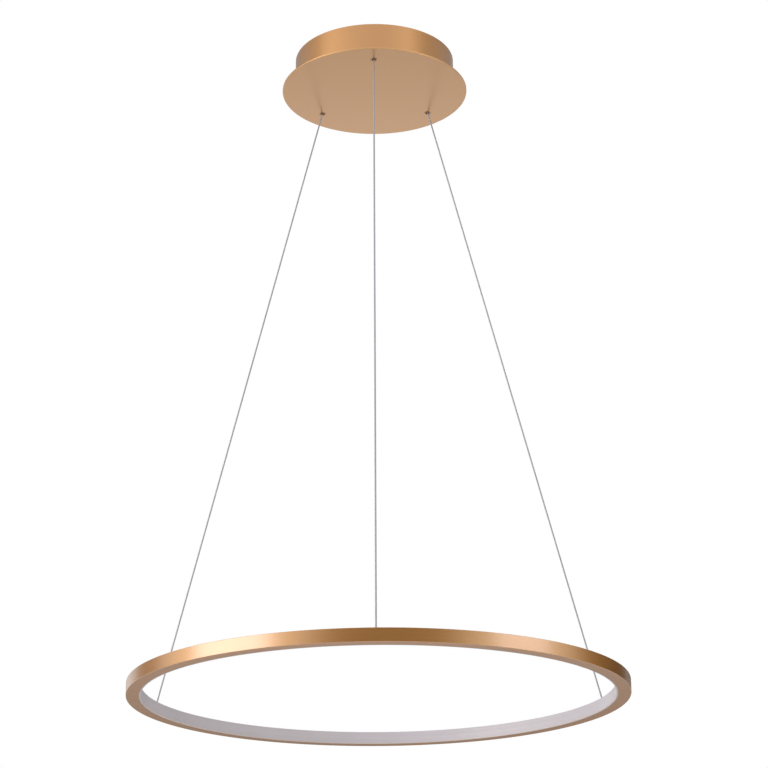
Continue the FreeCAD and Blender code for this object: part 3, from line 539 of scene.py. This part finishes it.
@dataclass(frozen=True)
class LitPackage(Finish):
    """Light-emitting packages: a white body with a round yellow phosphor window."""

    count: int = 72
    radius: float = 0.2967
    level: float = RING_LEVEL
    window: float = 0.0011
    body_shade: Shade = (236, 236, 230)
    grit_per_metre: float = 5000
    depth: float = 0.0002

    def sockets(self, graph: Graph) -> Inputs:
        """The window is a disc round the middle of each package.

        Args:
            graph: The material's graph.

        Returns:
            The shader's sockets.
        """
        x, y, z = graph.place()
        pitch = 2 * math.pi / self.count
        step = (y.math("ARCTAN2", x) / pitch).math("FRACT") - 0.5
        across, up = step * (pitch * self.radius), z - self.level
        away = (across * across + up * up) ** 0.5
        body = 1 - away.between(self.window * 0.93, self.window)
        grit = graph.noise(graph.vector(x, y, z), self.grit_per_metre)
        phosphor = graph.blend(grit.between(0.3, 0.7), self.tint(0.85), self.tint(1.05))
        return {
            "Base Color": graph.blend(body, linear(self.body_shade), phosphor),
            "Roughness": grit * 0.2 + 0.35,
            "Normal": graph.relief(body, self.depth, 0.5),
        }


FINISHES: dict[str, Finish] = {
    finish.name: finish
    for finish in (
        SatinMetal("ring_gold", (187.5, 129, 60), Grain.ROUND, 0.51, 1.0, 0.24, 2.29, 0.03),
        SatinMetal("canopy_gold", (212, 153, 80), Grain.FLAT, 0.37, 1.0, 0.27, streak=0.02),
        # A darker copy of canopy_gold for the drum wall: painted shade.
        SatinMetal("drum_gold_painted_shade", (206, 144, 74), Grain.FLAT, 0.37, 1.0, 0.27, streak=0.02),
        SatinMetal("screw_gold", (196, 156, 112), roughness=0.3, streak=0.03),
        OpalPlastic("opal", (213, 206, 210)),
        PlatedMetal("plain_aluminium", (214, 214, 216), roughness=0.36, fleck=0.04),
        LitPackage("led_phosphor", (238, 205, 96)),
        PlatedMetal("zinc_steel", (188, 191, 194), roughness=0.34, fleck=0.14),
        BoredMetal("bush_gold", (196, 152, 112), roughness=0.34, fleck=0.03),
        # The plunger's near-black colour is painted shade: it sits deep in the bore.
        PlatedMetal("plunger_black", (40, 34, 30), roughness=0.42, fleck=0.05),
        PlatedMetal("nickel_plate", (205, 198, 186), roughness=0.22, fleck=0.04),
        PlatedMetal("spring_steel", (150, 150, 152), roughness=0.3, fleck=0.08),
        PlatedMetal("ferrule_brass", (204, 176, 108), roughness=0.26, fleck=0.05),
        StrandedSheath("cable_sheath", (176, 177, 185)),
        MouldedPlastic("driver_white", (226, 226, 223)),
        MouldedPlastic("terminal_plastic", (206, 206, 196), roughness=0.4),
        MouldedPlastic(
            "lead_sleeve", (92, 94, 104), roughness=0.33, pebbles_per_metre=900, depth=0.00002
        ),
    )
}


class Paints(dict[str, Material]):
    """The materials by the name of their slot, each made when it is first asked for."""

    def __missing__(self, slot: str) -> Material:
        """Makes the material of a slot."""
        self[slot] = painted(slot, FINISHES[slot].shader)
        return self[slot]

    def dress(self, *nodes: str, finish: str | None = None) -> None:
        """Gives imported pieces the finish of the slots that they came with, or another.

        Args:
            *nodes: The pieces' names.
            finish: Another finish to give them.
        """
        for node in nodes:
            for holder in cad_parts[node].material_slots:
                slot = finish or holder.material.name.split(".")[0]
                holder.link = "OBJECT"
                holder.material = self[slot]


# Meshes.


@dataclass(frozen=True)
class Hexagon:
    """A radius that follows the sides of a hexagon instead of a circle."""

    half_width: float

    def at(self, angle: float) -> float:
        """The distance from the middle to the hexagon's side at an angle in radians."""
        return self.half_width / math.cos((angle % (math.pi / 3)) - math.pi / 6)


def rounded(corners: list[Point], steps: int = 4) -> Profile:
    """Rounds the corners of a closed outline.

    Args:
        corners: Radius, height and rounding of each corner. A rounding of 0 keeps it sharp.
        steps: Straight bits in each rounded corner.

    Returns:
        The outline's points.
    """
    outline: Profile = []
    for index, (across, up, rounding) in enumerate(corners):
        corner = Vector((across, up))
        if rounding == 0:
            outline.append((across, up))
            continue
        before = (Vector(corners[index - 1][:2]) - corner).normalized()
        after = (Vector(corners[(index + 1) % len(corners)][:2]) - corner).normalized()
        half = before.angle(after) / 2
        middle = corner + (before + after).normalized() * (rounding / math.sin(half))
        first = corner + before * (rounding / math.tan(half)) - middle
        last = corner + after * (rounding / math.tan(half)) - middle
        sweep = first.angle_signed(last)
        for step in range(steps + 1):
            point = first.copy()
            point.rotate(Matrix.Rotation(-sweep * step / steps, 2))
            outline.append((middle.x + point.x, middle.y + point.y))
    return outline


def turned(
    outline: list[tuple[float | Hexagon, float]],
    segments: int,
    start: float = 0.0,
    sweep: float = 360.0,
    closed: bool = True,
) -> BMesh:
    """Turns an outline about the upright axis.

    Args:
        outline: Radius and height of each point.
        segments: Steps round the sweep.
        start: Azimuth where it starts, in degrees.
        sweep: Degrees that it turns through.
        closed: Whether the outline's last point joins its first.

    Returns:
        The turned form, capped at its ends where it isn't a full turn.
    """
    form = bmesh.new()
    whole = sweep >= 360
    columns = segments if whole else segments + 1
    rows: list[list[bmesh.types.BMVert]] = []
    for column in range(columns):
        angle = math.radians(start + sweep * column / segments)
        row = []
        for across, up in outline:
            radius = across.at(angle) if isinstance(across, Hexagon) else across
            row.append(form.verts.new((radius * math.cos(angle), radius * math.sin(angle), up)))
        rows.append(row)
    count = len(outline)
    for column in range(segments):
        near, far = rows[column], rows[(column + 1) % columns]
        for index in range(count if closed else count - 1):
            after = (index + 1) % count
            form.faces.new((near[index], near[after], far[after], far[index]))
    if not whole and closed:
        form.faces.new(rows[0])
        form.faces.new(list(reversed(rows[-1])))
    bmesh.ops.remove_doubles(form, verts=form.verts, dist=1e-7)
    bmesh.ops.recalc_face_normals(form, faces=form.faces)
    return form


def mesh_of(name: str, form: BMesh) -> Mesh:
    """Makes a mesh of a form.

    Args:
        name: The mesh's name.
        form: The form, which is used up.

    Returns:
        The mesh.
    """
    mesh = bpy.data.meshes.new(name)
    form.to_mesh(mesh)
    form.free()
    return mesh


def placed(name: str, data: ID) -> Object:
    """Puts something into the scene.

    Args:
        name: The object's name.
        data: Its mesh, lamp or camera.

    Returns:
        The object, at the origin.
    """
    made = bpy.data.objects.new(name, data)
    bpy.context.scene.collection.objects.link(made)
    return made


def repeated(make: Callable[[], BMesh], places: Iterable[Matrix]) -> BMesh:
    """Makes a form at each of several places.

    Args:
        make: Makes the form.
        places: Where each one goes.

    Returns:
        All of them as one form.
    """
    whole = bmesh.new()
    for place in places:
        form = make()
        form.transform(place)
        mesh = mesh_of("part", form)
        whole.from_mesh(mesh)
        bpy.data.meshes.remove(mesh)
    return whole


class Crease(Enum):
    """Edges sharper than this, in degrees, stay sharp."""

    SCREW = 25.0
    PROFILE = 32.0
    WIRE = 60.0


def level_faces(piece: Object, crease: Crease) -> None:
    """Keeps a piece's creases sharp and its flat faces evenly shaded."""
    piece.data.set_sharp_from_angle(angle=math.radians(crease.value))
    piece.modifiers.new("level_faces", "WEIGHTED_NORMAL").keep_sharp = True


@dataclass(frozen=True)
class Bench:
    """Where a form becomes a finished piece of the light."""

    paints: Paints

    def finish(
        self,
        name: str,
        form: BMesh,
        slot: str,
        body: str,
        stands_for: str,
        crease: Crease = Crease.PROFILE,
        place: Matrix | None = None,
    ) -> Object:
        """Makes an object of a form, smooth except at its creases, and lets it ride on a body.

        Args:
            name: The piece's name.
            form: Its form, which is used up.
            slot: Its material slot.
            body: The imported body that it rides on.
            stands_for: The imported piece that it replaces.
            crease: Which edges stay sharp.
            place: Where its mesh is moved, while the object stays at the origin.

        Returns:
            The piece.
        """
        if place is not None:
            form.transform(place)
        mesh = mesh_of(name, form)
        mesh.shade_smooth()
        mesh.materials.append(self.paints[slot])
        piece = placed(name, mesh)
        level_faces(piece, crease)
        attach(piece, body)
        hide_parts(stands_for)
        log.info("made %s with %d faces", name, len(mesh.polygons))
        return piece


def tube(path: list[Vector], radius: float, sides: int) -> BMesh:
    """A round tube along a path, with a map that runs round it and along it in metres.

    Args:
        path: Points down its middle.
        radius: The tube's radius.
        sides: Flat sides round it.

    Returns:
        The tube, closed at both ends.
    """
    form = bmesh.new()
    chart = form.loops.layers.uv.new("UVMap")
    rings, travelled = [], [0.0]
    for before, after in zip(path, path[1:]):
        travelled.append(travelled[-1] + (after - before).length)
    across = Vector((1, 0, 0))
    angles = [2 * math.pi * step / sides for step in range(sides)]
    for index, point in enumerate(path):
        ahead = (path[min(index + 1, len(path) - 1)] - path[max(index - 1, 0)]).normalized()
        across = (across - ahead * across.dot(ahead)).normalized()
        other = ahead.cross(across)
        offsets = (across * math.cos(angle) + other * math.sin(angle) for angle in angles)
        rings.append([form.verts.new(point + offset * radius) for offset in offsets])
    corners = ((0, 0), (1, 0), (1, 1), (0, 1))
    for row in range(len(path) - 1):
        for column in range(sides):
            square = [(column + right, row + up) for right, up in corners]
            face = form.faces.new([rings[up][right % sides] for right, up in square])
            for loop, (right, up) in zip(face.loops, square):
                loop[chart].uv = (right / sides, travelled[up])
    form.faces.new(rings[0])
    form.faces.new(list(reversed(rings[-1])))
    bmesh.ops.recalc_face_normals(form, faces=form.faces)
    return form


@dataclass(frozen=True)
class HexScrew:
    """A screw with a hexagon socket in its head, head up, seated on the origin."""

    head_radius: float
    head_height: float
    shank_radius: float
    length: float
    socket: float
    dome: float = 0.4
    segments: int = 48

    def form(self) -> BMesh:
        """The screw, turned in one outline from the bottom of its socket to the tip of its shank.

        Returns:
            The form.
        """
        key, top, edge = Hexagon(self.socket), self.head_height, self.head_height * self.dome
        head, shank = self.head_radius, self.shank_radius
        outline: list[tuple[float | Hexagon, float]] = [
            (0.0, top * 0.35),
            (key, top * 0.4),
            (key, top * 0.97),
            (self.socket * 1.25, top),
            (head - edge, top),
            (head - edge * 0.35, top - edge * 0.3),
            (head, top - edge),
            (head, 0.0),
            (shank, 0.0),
            (shank, -self.length + shank * 0.2),
            (shank * 0.8, -self.length),
            (0.0, -self.length),
        ]
        return turned(outline, self.segments, closed=False)


# Camera and light.


@dataclass(frozen=True)
class Viewpoint:
    """The camera, low and a little to the right, looking up at the light."""

    place: Point = (0.0207, -2.5948, -1.3924)
    tilt: float = 109.906
    yaw: float = 0.2508
    roll: float = -0.4584
    lens: float = 103.125
    sensor: float = 36.0
    reach: float = 100.0

    def build(self) -> None:
        """Makes the camera and hands it to the scene."""
        data = bpy.data.cameras.new("camera")
        data.lens = self.lens
        data.sensor_width = self.sensor
        data.clip_end = self.reach
        camera = placed("camera", data)
        yaw = Matrix.Rotation(math.radians(self.yaw), 4, "Z")
        tilt = Matrix.Rotation(math.radians(self.tilt), 4, "X")
        roll = Matrix.Rotation(math.radians(self.roll), 4, "Z")
        camera.matrix_world = Matrix.Translation(self.place) @ yaw @ tilt @ roll
        bpy.context.scene.camera = camera


@dataclass(frozen=True)
class Hung:
    """Something hung at a direction from the middle of the light, with its angles in degrees."""

    name: str
    azimuth: float
    elevation: float

    def hang(self, data: ID, distance: float) -> Object:
        """Puts it into the scene so that it faces the middle.

        Args:
            data: The lamp, or the card's mesh.
            distance: How far off it hangs.

        Returns:
            The object.
        """
        made = placed(self.name, data)
        made.location = MIDDLE + toward(self.azimuth, self.elevation) * distance
        made.rotation_euler = (made.location - MIDDLE).to_track_quat("Z", "Y").to_euler()
        return made


@dataclass(frozen=True)
class Softbox(Hung):
    """A soft lamp, which metal mirrors or not."""

    distance: float
    width: float
    height: float
    brightness: float
    tint: Shade = (1.0, 0.935, 0.97)
    mirrored: bool = True

    def build(self) -> None:
        """Makes the lamp and hangs it."""
        data = bpy.data.lights.new(self.name, "AREA")
        data.shape = "RECTANGLE"
        data.size = self.width
        data.size_y = self.height
        data.energy = self.brightness * math.pi * self.width * self.height
        data.color = self.tint
        self.hang(data, self.distance).visible_glossy = self.mirrored


@dataclass(frozen=True)
class Flag(Hung):
    """A soft-edged card of one tone, which only metal mirrors: it gives gold its bands.

    Its half sizes are angles in degrees, as seen from the middle of the light.
    """

    half_across: float
    half_up: float
    tone: float
    distance: float = 4.0
    soft: float = 0.35
    tint: Shade = (1.0, 1.0, 1.0)

    def half_sizes(self) -> list[float]:
        """Half of the card's width and half of its height, in metres."""
        halves = (self.half_across, self.half_up)
        return [self.distance * math.tan(math.radians(half)) for half in halves]

    def build(self) -> None:
        """Makes the card and hangs it."""
        wide, high = self.half_sizes()
        form = bmesh.new()
        bmesh.ops.create_grid(form, x_segments=1, y_segments=1, size=0.5)
        form.transform(Matrix.Diagonal((2 * wide, 2 * high, 1, 1)))
        card = self.hang(mesh_of(self.name, form), self.distance)
        card.data.materials.append(painted(self.name, self.shader))
        for ray in ("camera", "diffuse", "transmission", "shadow"):
            setattr(card, "visible_" + ray, False)
        card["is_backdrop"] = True

    def shader(self, graph: Graph) -> Node:
        """The card's tone, clear at its edges.

        Args:
            graph: The card's graph.

        Returns:
            The shader.
        """
        x, y, _ = graph.place()
        across, up = (
            1 - (off.math("ABSOLUTE") / half).between(self.soft, 1.0)
            for off, half in zip((x, y), self.half_sizes())
        )
        colour = (*(self.tone * part for part in self.tint), 1.0)
        clear = graph.node("BsdfTransparent")
        card = graph.node("Emission", inputs={"Color": colour})
        return graph.mix(across * up, clear, card)


def toward(azimuth: float, elevation: float) -> Vector:
    """The unit vector at an azimuth and an elevation in degrees, with azimuth 0 along +X."""
    around, up = math.radians(azimuth), math.radians(elevation)
    return Vector((math.cos(around) * math.cos(up), math.sin(around) * math.cos(up), math.sin(up)))


@dataclass(frozen=True)
class Studio:
    """A plain pale room with soft lamps."""

    floor_level: float = -2.4
    floor_radius: float = 16.0
    floor_segments: int = 96
    floor_fade: Pair = (1.5, 7.0)
    floor_shades: tuple[Shade, Shade] = ((240, 240, 240), (245, 245, 245))
    floor_white: float = 0.75
    speckles_per_metre: float = 40
    ambient: float = 0.52
    lamps: tuple[Softbox, ...] = (
        Softbox("key_left", 205.5, 12, 2.4, 1.69, 1.0, 3.1),
        Softbox("fill_right", 334.2, 14, 2.6, 1.29, 0.9, 2.0),
        Softbox("bounce_left", 202, 2, 2.4, 1.2, 1.0, 4.1, (0.98, 1.0, 1.0), False),
    )
    flags: tuple[Flag, ...] = (
        Flag("flag_camera", 274.2, 6, 41.9, 18, 0.0),
        Flag("flag_right", 33.3, 6, 36.5, 18, 0.0),
        Flag("flag_far_right", 76, 6, 22, 16, 0.18),
        Flag("flag_far_left", 147, 6, 17.7, 16, 0.175),
        Flag("flag_behind", 101, 6, 14, 16, 0.4),
        Flag("flag_drum_behind", 90, 42, 50, 14, 0.35),
        Flag("flag_drum_left", 158, 42, 36, 14, 0.3),
        Flag("flag_drum_right", 18, 40, 50, 14, 0.3),
        Flag("flag_drum_front", 256, 40, 54, 13, 0.85),
        Flag("flag_back", 90, -22, 45, 14, 0.22, 1.35),
        Flag("glow_left", 204, 8, 42, 26, 1.12, 4.5, 0.6, (1.0, 1.0, 0.8)),
        Flag("glow_right", 336, 8, 42, 26, 0.97, 4.5, 0.6, (1.0, 1.0, 0.8)),
    )

    def build(self) -> None:
        """Makes the world, the floor, the lamps and the flags."""
        bpy.context.scene.view_settings.view_transform = "Standard"
        self.light_world()
        self.lay_floor()
        for part in (*self.lamps, *self.flags):
            part.build()

    def seen(self, graph: Graph) -> Field:
        """1 for rays that show a background: from the camera, off metal or through glass."""
        rays = graph.node("LightPath").outputs
        return graph.math("MAXIMUM", rays["Is Camera Ray"], rays["Is Glossy Ray"]).math(
            "MAXIMUM", rays["Is Transmission Ray"]
        )

    def light_world(self) -> None:
        """White where it is seen, and a plain even light everywhere else."""
        world = bpy.data.worlds.new("room")
        bpy.context.scene.world = world
        world.use_nodes = True
        graph = Graph(world.node_tree)
        plain, white = (
            graph.node("Background", inputs={"Color": (1, 1, 1, 1), "Strength": strength})
            for strength in (self.ambient, 1.0)
        )
        light = graph.mix(self.seen(graph), plain, white)
        graph.node("OutputWorld", inputs={"Surface": light.outputs[0]})

    def lay_floor(self) -> None:
        """A pale floor that keeps the light's soft shadow."""
        form = bmesh.new()
        size = {"radius": self.floor_radius, "segments": self.floor_segments}
        bmesh.ops.create_circle(form, cap_ends=True, **size)
        floor = placed("floor", mesh_of("floor", form))
        floor.location.z = self.floor_level
        floor.data.materials.append(painted("floor", self.plaster))
        floor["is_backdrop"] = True

    def plaster(self, graph: Graph) -> Node:
        """Matt plaster, nearly white under the light and white far from it where it is seen.

        Args:
            graph: The floor's graph.

        Returns:
            The shader.
        """
        x, y, z = graph.place()
        speckle = graph.noise(graph.vector(x, y, z), self.speckles_per_metre, 4.0)
        shade = graph.blend(speckle, *(linear(shade) for shade in self.floor_shades))
        away = ((x * x + y * y) ** 0.5).between(*self.floor_fade)
        dull = {"Base Color": shade, "Roughness": 1.0, "Specular IOR Level": 0.0}
        matt = graph.node("BsdfPrincipled", inputs=dull)
        white = graph.node("Emission", inputs={"Color": (1, 1, 1, 1), "Strength": 1.0})
        share = self.seen(graph) * (away * (1 - self.floor_white) + self.floor_white)
        return graph.mix(share, matt, white)


# The light.


@dataclass(frozen=True)
class HangingCable:
    """One power cable: the taut stretch from its bush in the canopy to its socket in the ring."""

    side: str
    route: tuple[Point, ...]
    radius: float = 0.001
    sides: int = 16
    resolution: int = 24
    raised: float = 0.45

    def spline(self) -> list[Vector]:
        """Lays the route's smooth curve.

        Returns:
            The points down the middle of the cable, as the curve gives them.
        """
        data = bpy.data.curves.new("route_" + self.side, "CURVE")
        data.dimensions = "3D"
        data.resolution_u = self.resolution
        line = data.splines.new("NURBS")
        line.points.add(len(self.route) - 1)
        for point, place in zip(line.points, self.route):
            point.co = (*place, 1.0)
        line.order_u = 3
        line.use_endpoint_u = True
        holder = bpy.data.objects.new("route_" + self.side, data)
        bare = bpy.data.meshes.new_from_object(holder)
        points = [vertex.co.copy() for vertex in bare.vertices]
        bpy.data.meshes.remove(bare)
        bpy.data.curves.remove(data)
        return points

    def build(self, bench: Bench) -> None:
        """Args:
            bench: Where pieces are finished.
        """
        path = self.spline()
        piece = bench.finish(
            "hanging_cable_" + self.side,
            tube(path, self.radius, self.sides),
            "cable_sheath",
            "canopy",
            "cable_" + self.side,
            crease=Crease.WIRE,
        )
        length = sum((after - before).length for before, after in zip(path, path[1:]))
        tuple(self.route[0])
        2 * self.radius
        top, foot = self.route[0][2], self.route[-1][2]
        (top - foot - self.raised) / (top - foot)
        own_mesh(piece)


@dataclass(frozen=True)
class Cables:
    """The three cables that carry the ring, and their tails and ends."""

    socket_radius: float = 0.294
    bend: float = 0.011
    foot_level: float = -0.83595
    leader: float = 0.012

    def route(self, high: float, low: float) -> tuple[Point, ...]:
        """The points of one cable from its bush to its socket.

        Args:
            high: Azimuth of the bush, in degrees.
            low: Azimuth of the socket, in degrees.

        Returns:
            The route's points.
        """
        hole = toward(high, 0) * HOLE_RADIUS + Vector((0, 0, MOUTH_LEVEL))
        foot = toward(low, 0) * self.socket_radius + Vector((0, 0, self.foot_level))
        lean = (hole - foot).angle(Vector((0, 0, 1)))
        sideways = Vector((foot.x - hole.x, foot.y - hole.y, 0)).normalized()
        mouth = hole + sideways * (self.bend * (1 - math.cos(lean)))
        along = (foot - mouth).normalized()
        points = (mouth, mouth + along * self.leader, foot - along * self.leader, foot)
        return tuple(tuple(point) for point in points)

    def build(self, bench: Bench) -> None:
        """Makes the three cables and dresses their tails and crimped ends.

        Args:
            bench: Where pieces are finished.
        """
        for side, (high, low) in AZIMUTHS.items():
            HangingCable(side, self.route(high, low)).build(bench)
            bench.paints.dress("cable_tail_" + side, "cable_crimp_" + side)


@dataclass(frozen=True)
class GripperSpring:
    """A cable gripper's spring: it closes the jaws and gives way to the plunger."""

    side: str
    azimuth: float
    foot: float = -0.0344
    head: float = -0.0223
    coil: float = 0.00325
    wire: float = 0.0005
    sides: int = 10
    turns: float = 4.5
    closed_turns: float = 0.75
    travel: float = 0.002
    steps: int = 28

    def path(self) -> list[Vector]:
        """The wire's middle: open coils between ends that lie closed.

        Returns:
            The points from the foot to the head.
        """
        middle = toward(self.azimuth, 0) * HOLE_RADIUS
        low, high = self.foot + self.wire / 2, self.head - self.wire / 2
        flat = self.closed_turns * self.wire
        open_turns = self.turns - 2 * self.closed_turns
        points = []
        for step in range(round(self.turns * self.steps) + 1):
            turn = step / self.steps
            if turn < self.closed_turns:
                up = low + turn * self.wire
            elif turn > self.turns - self.closed_turns:
                up = high - (self.turns - turn) * self.wire
            else:
                share = (turn - self.closed_turns) / open_turns
                up = low + flat + share * (high - low - 2 * flat)
            spot = middle + toward(360 * turn, 0) * self.coil
            spot.z = up
            points.append(spot)
        return points

    def build(self, bench: Bench) -> None:
        """Makes the spring.

        Args:
            bench: Where pieces are finished.
        """
        piece = bench.finish(
            "coil_spring_" + self.side,
            tube(self.path(), self.wire / 2, self.sides),
            "spring_steel",
            "canopy",
            "gripper_spring_" + self.side,
            crease=Crease.WIRE,
        )
        "gripper_release_" + self.side
        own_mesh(piece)


@dataclass(frozen=True)
class Ring:
    """The hanging ring: two half channels of rolled aluminium with an opal face turned inwards."""

    radius: float = 0.300
    width: float = 0.0155
    height: float = 0.0155
    wall: float = 0.0016
    flange: float = 0.0014
    edge: float = 0.0005
    bead_height: float = 0.0004
    bead_width: float = 0.0008
    bead_inset: float = 0.0016
    face: float = 0.002
    face_edge: float = 0.0008
    arm: float = 0.0011
    reach: float = 0.0054
    clearance: float = 0.00012
    seam: float = 0.05
    level: float = RING_LEVEL
    segments: int = 300
    splice_angle: float = 2.6
    splice_gap: float = 0.0003
    splice_inset: float = 0.0032
    splice_screw: HexScrew = HexScrew(
        head_radius=0.00225, head_height=0.001, shank_radius=0.00125, length=0.0034, socket=0.00075
    )

    def mirrored(self, upper: list[Point]) -> list[Point]:
        """An outline's upper half, joined to its mirror image below."""
        return upper + [(across, -up, rounding) for across, up, rounding in reversed(upper)]

    def channel(self) -> Profile:
        """The channel's section, open towards the middle of the ring.

        Returns:
            Its outline.
        """
        half, mouth = self.height / 2, self.radius - self.width
        inside = half - self.flange
        start = mouth + self.bead_inset
        end = start + self.bead_width
        bead = inside - self.bead_height
        upper = [
            (self.radius, half, self.edge),
            (mouth, half, self.edge * 0.4),
            (mouth, inside, self.edge * 0.4),
            (start, inside, 0.0),
            (start + self.bead_width / 4, bead, 0.0),
            (end - self.bead_width / 4, bead, 0.0),
            (end, inside, 0.0),
            (self.radius - self.wall, inside, self.edge * 0.6),
        ]
        return rounded(self.mirrored(upper))

    def diffuser(self) -> Profile:
        """The opal section: its face and the two arms that snap into the channel.

        Returns:
            Its outline.
        """
        half, mouth = self.height / 2, self.radius - self.width
        arm = half - self.flange - self.clearance
        notch = half - self.flange - self.bead_height - self.clearance
        start = mouth + self.bead_inset - self.clearance
        end = mouth + self.bead_inset + self.bead_width + self.clearance
        tip = mouth + self.reach
        upper = [
            (mouth - self.face, half, self.face_edge),
            (mouth, half, 0.0),
            (mouth, arm, 0.0),
            (start, arm, 0.0),
            (start, notch, 0.0),
            (end, notch, 0.0),
            (end, arm, 0.0),
            (tip - self.arm, arm, 0.0),
            (tip, arm - self.arm / 2, 0.0),
            (tip, arm - self.arm, 0.0),
            (mouth, arm - self.arm, 0.0),
        ]
        return rounded(self.mirrored(upper))

    def build(self, bench: Bench) -> None:
        """Makes the two halves and the splice screws, and dresses what sits inside.

        Args:
            bench: Where pieces are finished.
        """
        down = Matrix.Translation((0, 0, self.level))
        for half, start in (("front", 180.0), ("rear", 0.0)):
            span = {"start": start + self.seam / 2, "sweep": 180 - self.seam}
            shell = turned(self.channel(), self.segments, **span)
            bench.finish(f"channel_{half}", shell, "ring_gold", "ring", f"ring_{half}", place=down)
            face = turned(self.diffuser(), self.segments, **span)
            bench.finish(f"opal_face_{half}", face, "opal", "ring", f"diffuser_{half}", place=down)
        radius = self.radius - self.width + self.reach + self.splice_gap + self.splice_inset
        top = Vector((0, 0, self.level + self.height / 2))
        places = (
            Matrix.Translation(toward(side + turn, 0) * radius + top)
            @ Matrix.Rotation(turn, 4, "Z")
            for side in (0, 180)
            for turn in (self.splice_angle, -self.splice_angle)
        )
        bolts = repeated(self.splice_screw.form, places)
        bench.finish("splice_bolts", bolts, "screw_gold", "ring", "splice_screws", Crease.SCREW)
        bench.paints.dress("led_strip", "led_packages", "splice_bar_right", "splice_bar_left")
        bench.paints.dress("socket_nuts", "strip_leads", *("socket_" + side for side in AZIMUTHS))


@dataclass(frozen=True)
class Canopy:
    """The round plate and the drum above it, the bracket inside and everything on them."""

    underside: float = -0.045
    plate_radius: float = 0.121
    plate_thickness: float = 0.002
    plate_edge: float = 0.0006
    drum_radius: float = 0.104
    drum_wall: float = 0.0012
    drum_bend: float = 0.001
    hole: float = 0.00325
    drill_overrun: float = 0.012
    drill_segments: int = 48
    screw_height: float = 0.005
    screw: HexScrew = HexScrew(
        head_radius=0.0035,
        head_height=0.002,
        shank_radius=0.002,
        length=0.008,
        socket=0.00125,
        dome=0.6,
    )
    segments: int = 360

    def plate(self) -> Profile:
        """The plate's section.

        Returns:
            Its outline.
        """
        low, high = self.underside, self.underside + self.plate_thickness
        return rounded(
            [
                (0.0, low, 0.0),
                (self.plate_radius, low, self.plate_edge),
                (self.plate_radius, high, self.plate_edge),
                (0.0, high, 0.0),
            ]
        )

    def drum(self) -> Profile:
        """The drum's section, open at the ceiling.

        Returns:
            Its outline.
        """
        low = self.underside + self.plate_thickness
        inside = self.drum_radius - self.drum_wall
        return rounded(
            [
                (0.0, low, 0.0),
                (self.drum_radius, low, self.drum_bend),
                (self.drum_radius, 0.0, self.drum_wall * 0.3),
                (inside, 0.0, self.drum_wall * 0.3),
                (inside, low + self.drum_wall, self.drum_bend * 0.6),
                (0.0, low + self.drum_wall, 0.0),
            ]
        )

    def pierced(self, piece: Object) -> None:
        """Cuts the three cable holes into a piece.

        Args:
            piece: The plate or the drum.
        """
        low, high = self.underside - self.drill_overrun, self.underside + self.drill_overrun
        rod = [(0.0, low), (self.hole, low), (self.hole, high), (0.0, high)]
        spots = (toward(azimuth, 0) * HOLE_RADIUS for azimuth, _ in AZIMUTHS.values())
        drills = repeated(
            lambda: turned(rod, self.drill_segments, closed=False), map(Matrix.Translation, spots)
        )
        cutter = placed("drills", mesh_of("drills", drills))
        piece.modifiers.clear()
        cut = piece.modifiers.new("cable_holes", "BOOLEAN")
        cut.object = cutter
        cut.solver = "EXACT"
        bpy.context.view_layer.update()
        shaped = piece.evaluated_get(bpy.context.evaluated_depsgraph_get())
        piece.data = bpy.data.meshes.new_from_object(shaped)
        piece.modifiers.clear()
        bpy.data.objects.remove(cutter)
        level_faces(piece, Crease.PROFILE)

    def build(self, bench: Bench) -> None:
        """Makes plate, drum and side screws, and dresses the rest.

        Args:
            bench: Where pieces are finished.
        """
        plate = turned(self.plate()[::-1], self.segments)
        self.pierced(bench.finish("cover_plate", plate, "canopy_gold", "canopy", "canopy_plate"))
        drum = turned(self.drum(), self.segments)
        wall = bench.finish("pressed_drum", drum, "canopy_gold", "canopy", "canopy_drum")
        self.pierced(wall)
        # The drum takes the darker copy of the canopy gold: painted shade.
        wall.material_slots[0].material = bench.paints["drum_gold_painted_shade"]
        high = Vector((0, 0, self.underside + self.plate_thickness + self.screw_height))
        places = (
            Matrix.Translation(toward(side, 0) * self.drum_radius + high)
            @ Matrix.Rotation(math.radians(side), 4, "Z")
            @ Matrix.Rotation(math.pi / 2, 4, "Y")
            for side in (0, 180)
        )
        bolts = repeated(self.screw.form, places)
        bench.finish("side_bolts", bolts, "screw_gold", "canopy", "canopy_screws", Crease.SCREW)
        bench.paints.dress("ceiling_bracket", "led_driver", "driver_screws", "terminal_block")
        bench.paints.dress("terminal_screws", "earth_terminal", "mains_leads", "feed_leads")
        for side, (azimuth, _) in AZIMUTHS.items():
            GripperSpring(side, azimuth).build(bench)
            bench.paints.dress(f"gripper_bush_{side}", finish="bush_gold")
            # Each plunger gets a near-black finish: painted shade deep in the bore.
            bench.paints.dress(f"gripper_plunger_{side}", finish="plunger_black")
            bench.paints.dress(f"gripper_barrel_{side}")


def corners(box: tuple[Vector, Vector]) -> list[list[float]]:
    """A box's lowest and highest corner as plain lists."""
    return [list(box[0]), list(box[1])]


def main() -> None:
    """Builds the studio and the light."""
    logging.basicConfig(level=logging.INFO, format="%(name)s: %(message)s")
    Viewpoint().build()
    bench = Bench(Paints())
    for assembly in (Cables(), Ring(), Canopy()):
        assembly.build(bench)
        log.info("%s done", type(assembly).__name__)
    Studio().build()
    {"cad": corners(cad_box), "visual": corners(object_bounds())}


if __name__ == "__main__":
    main()
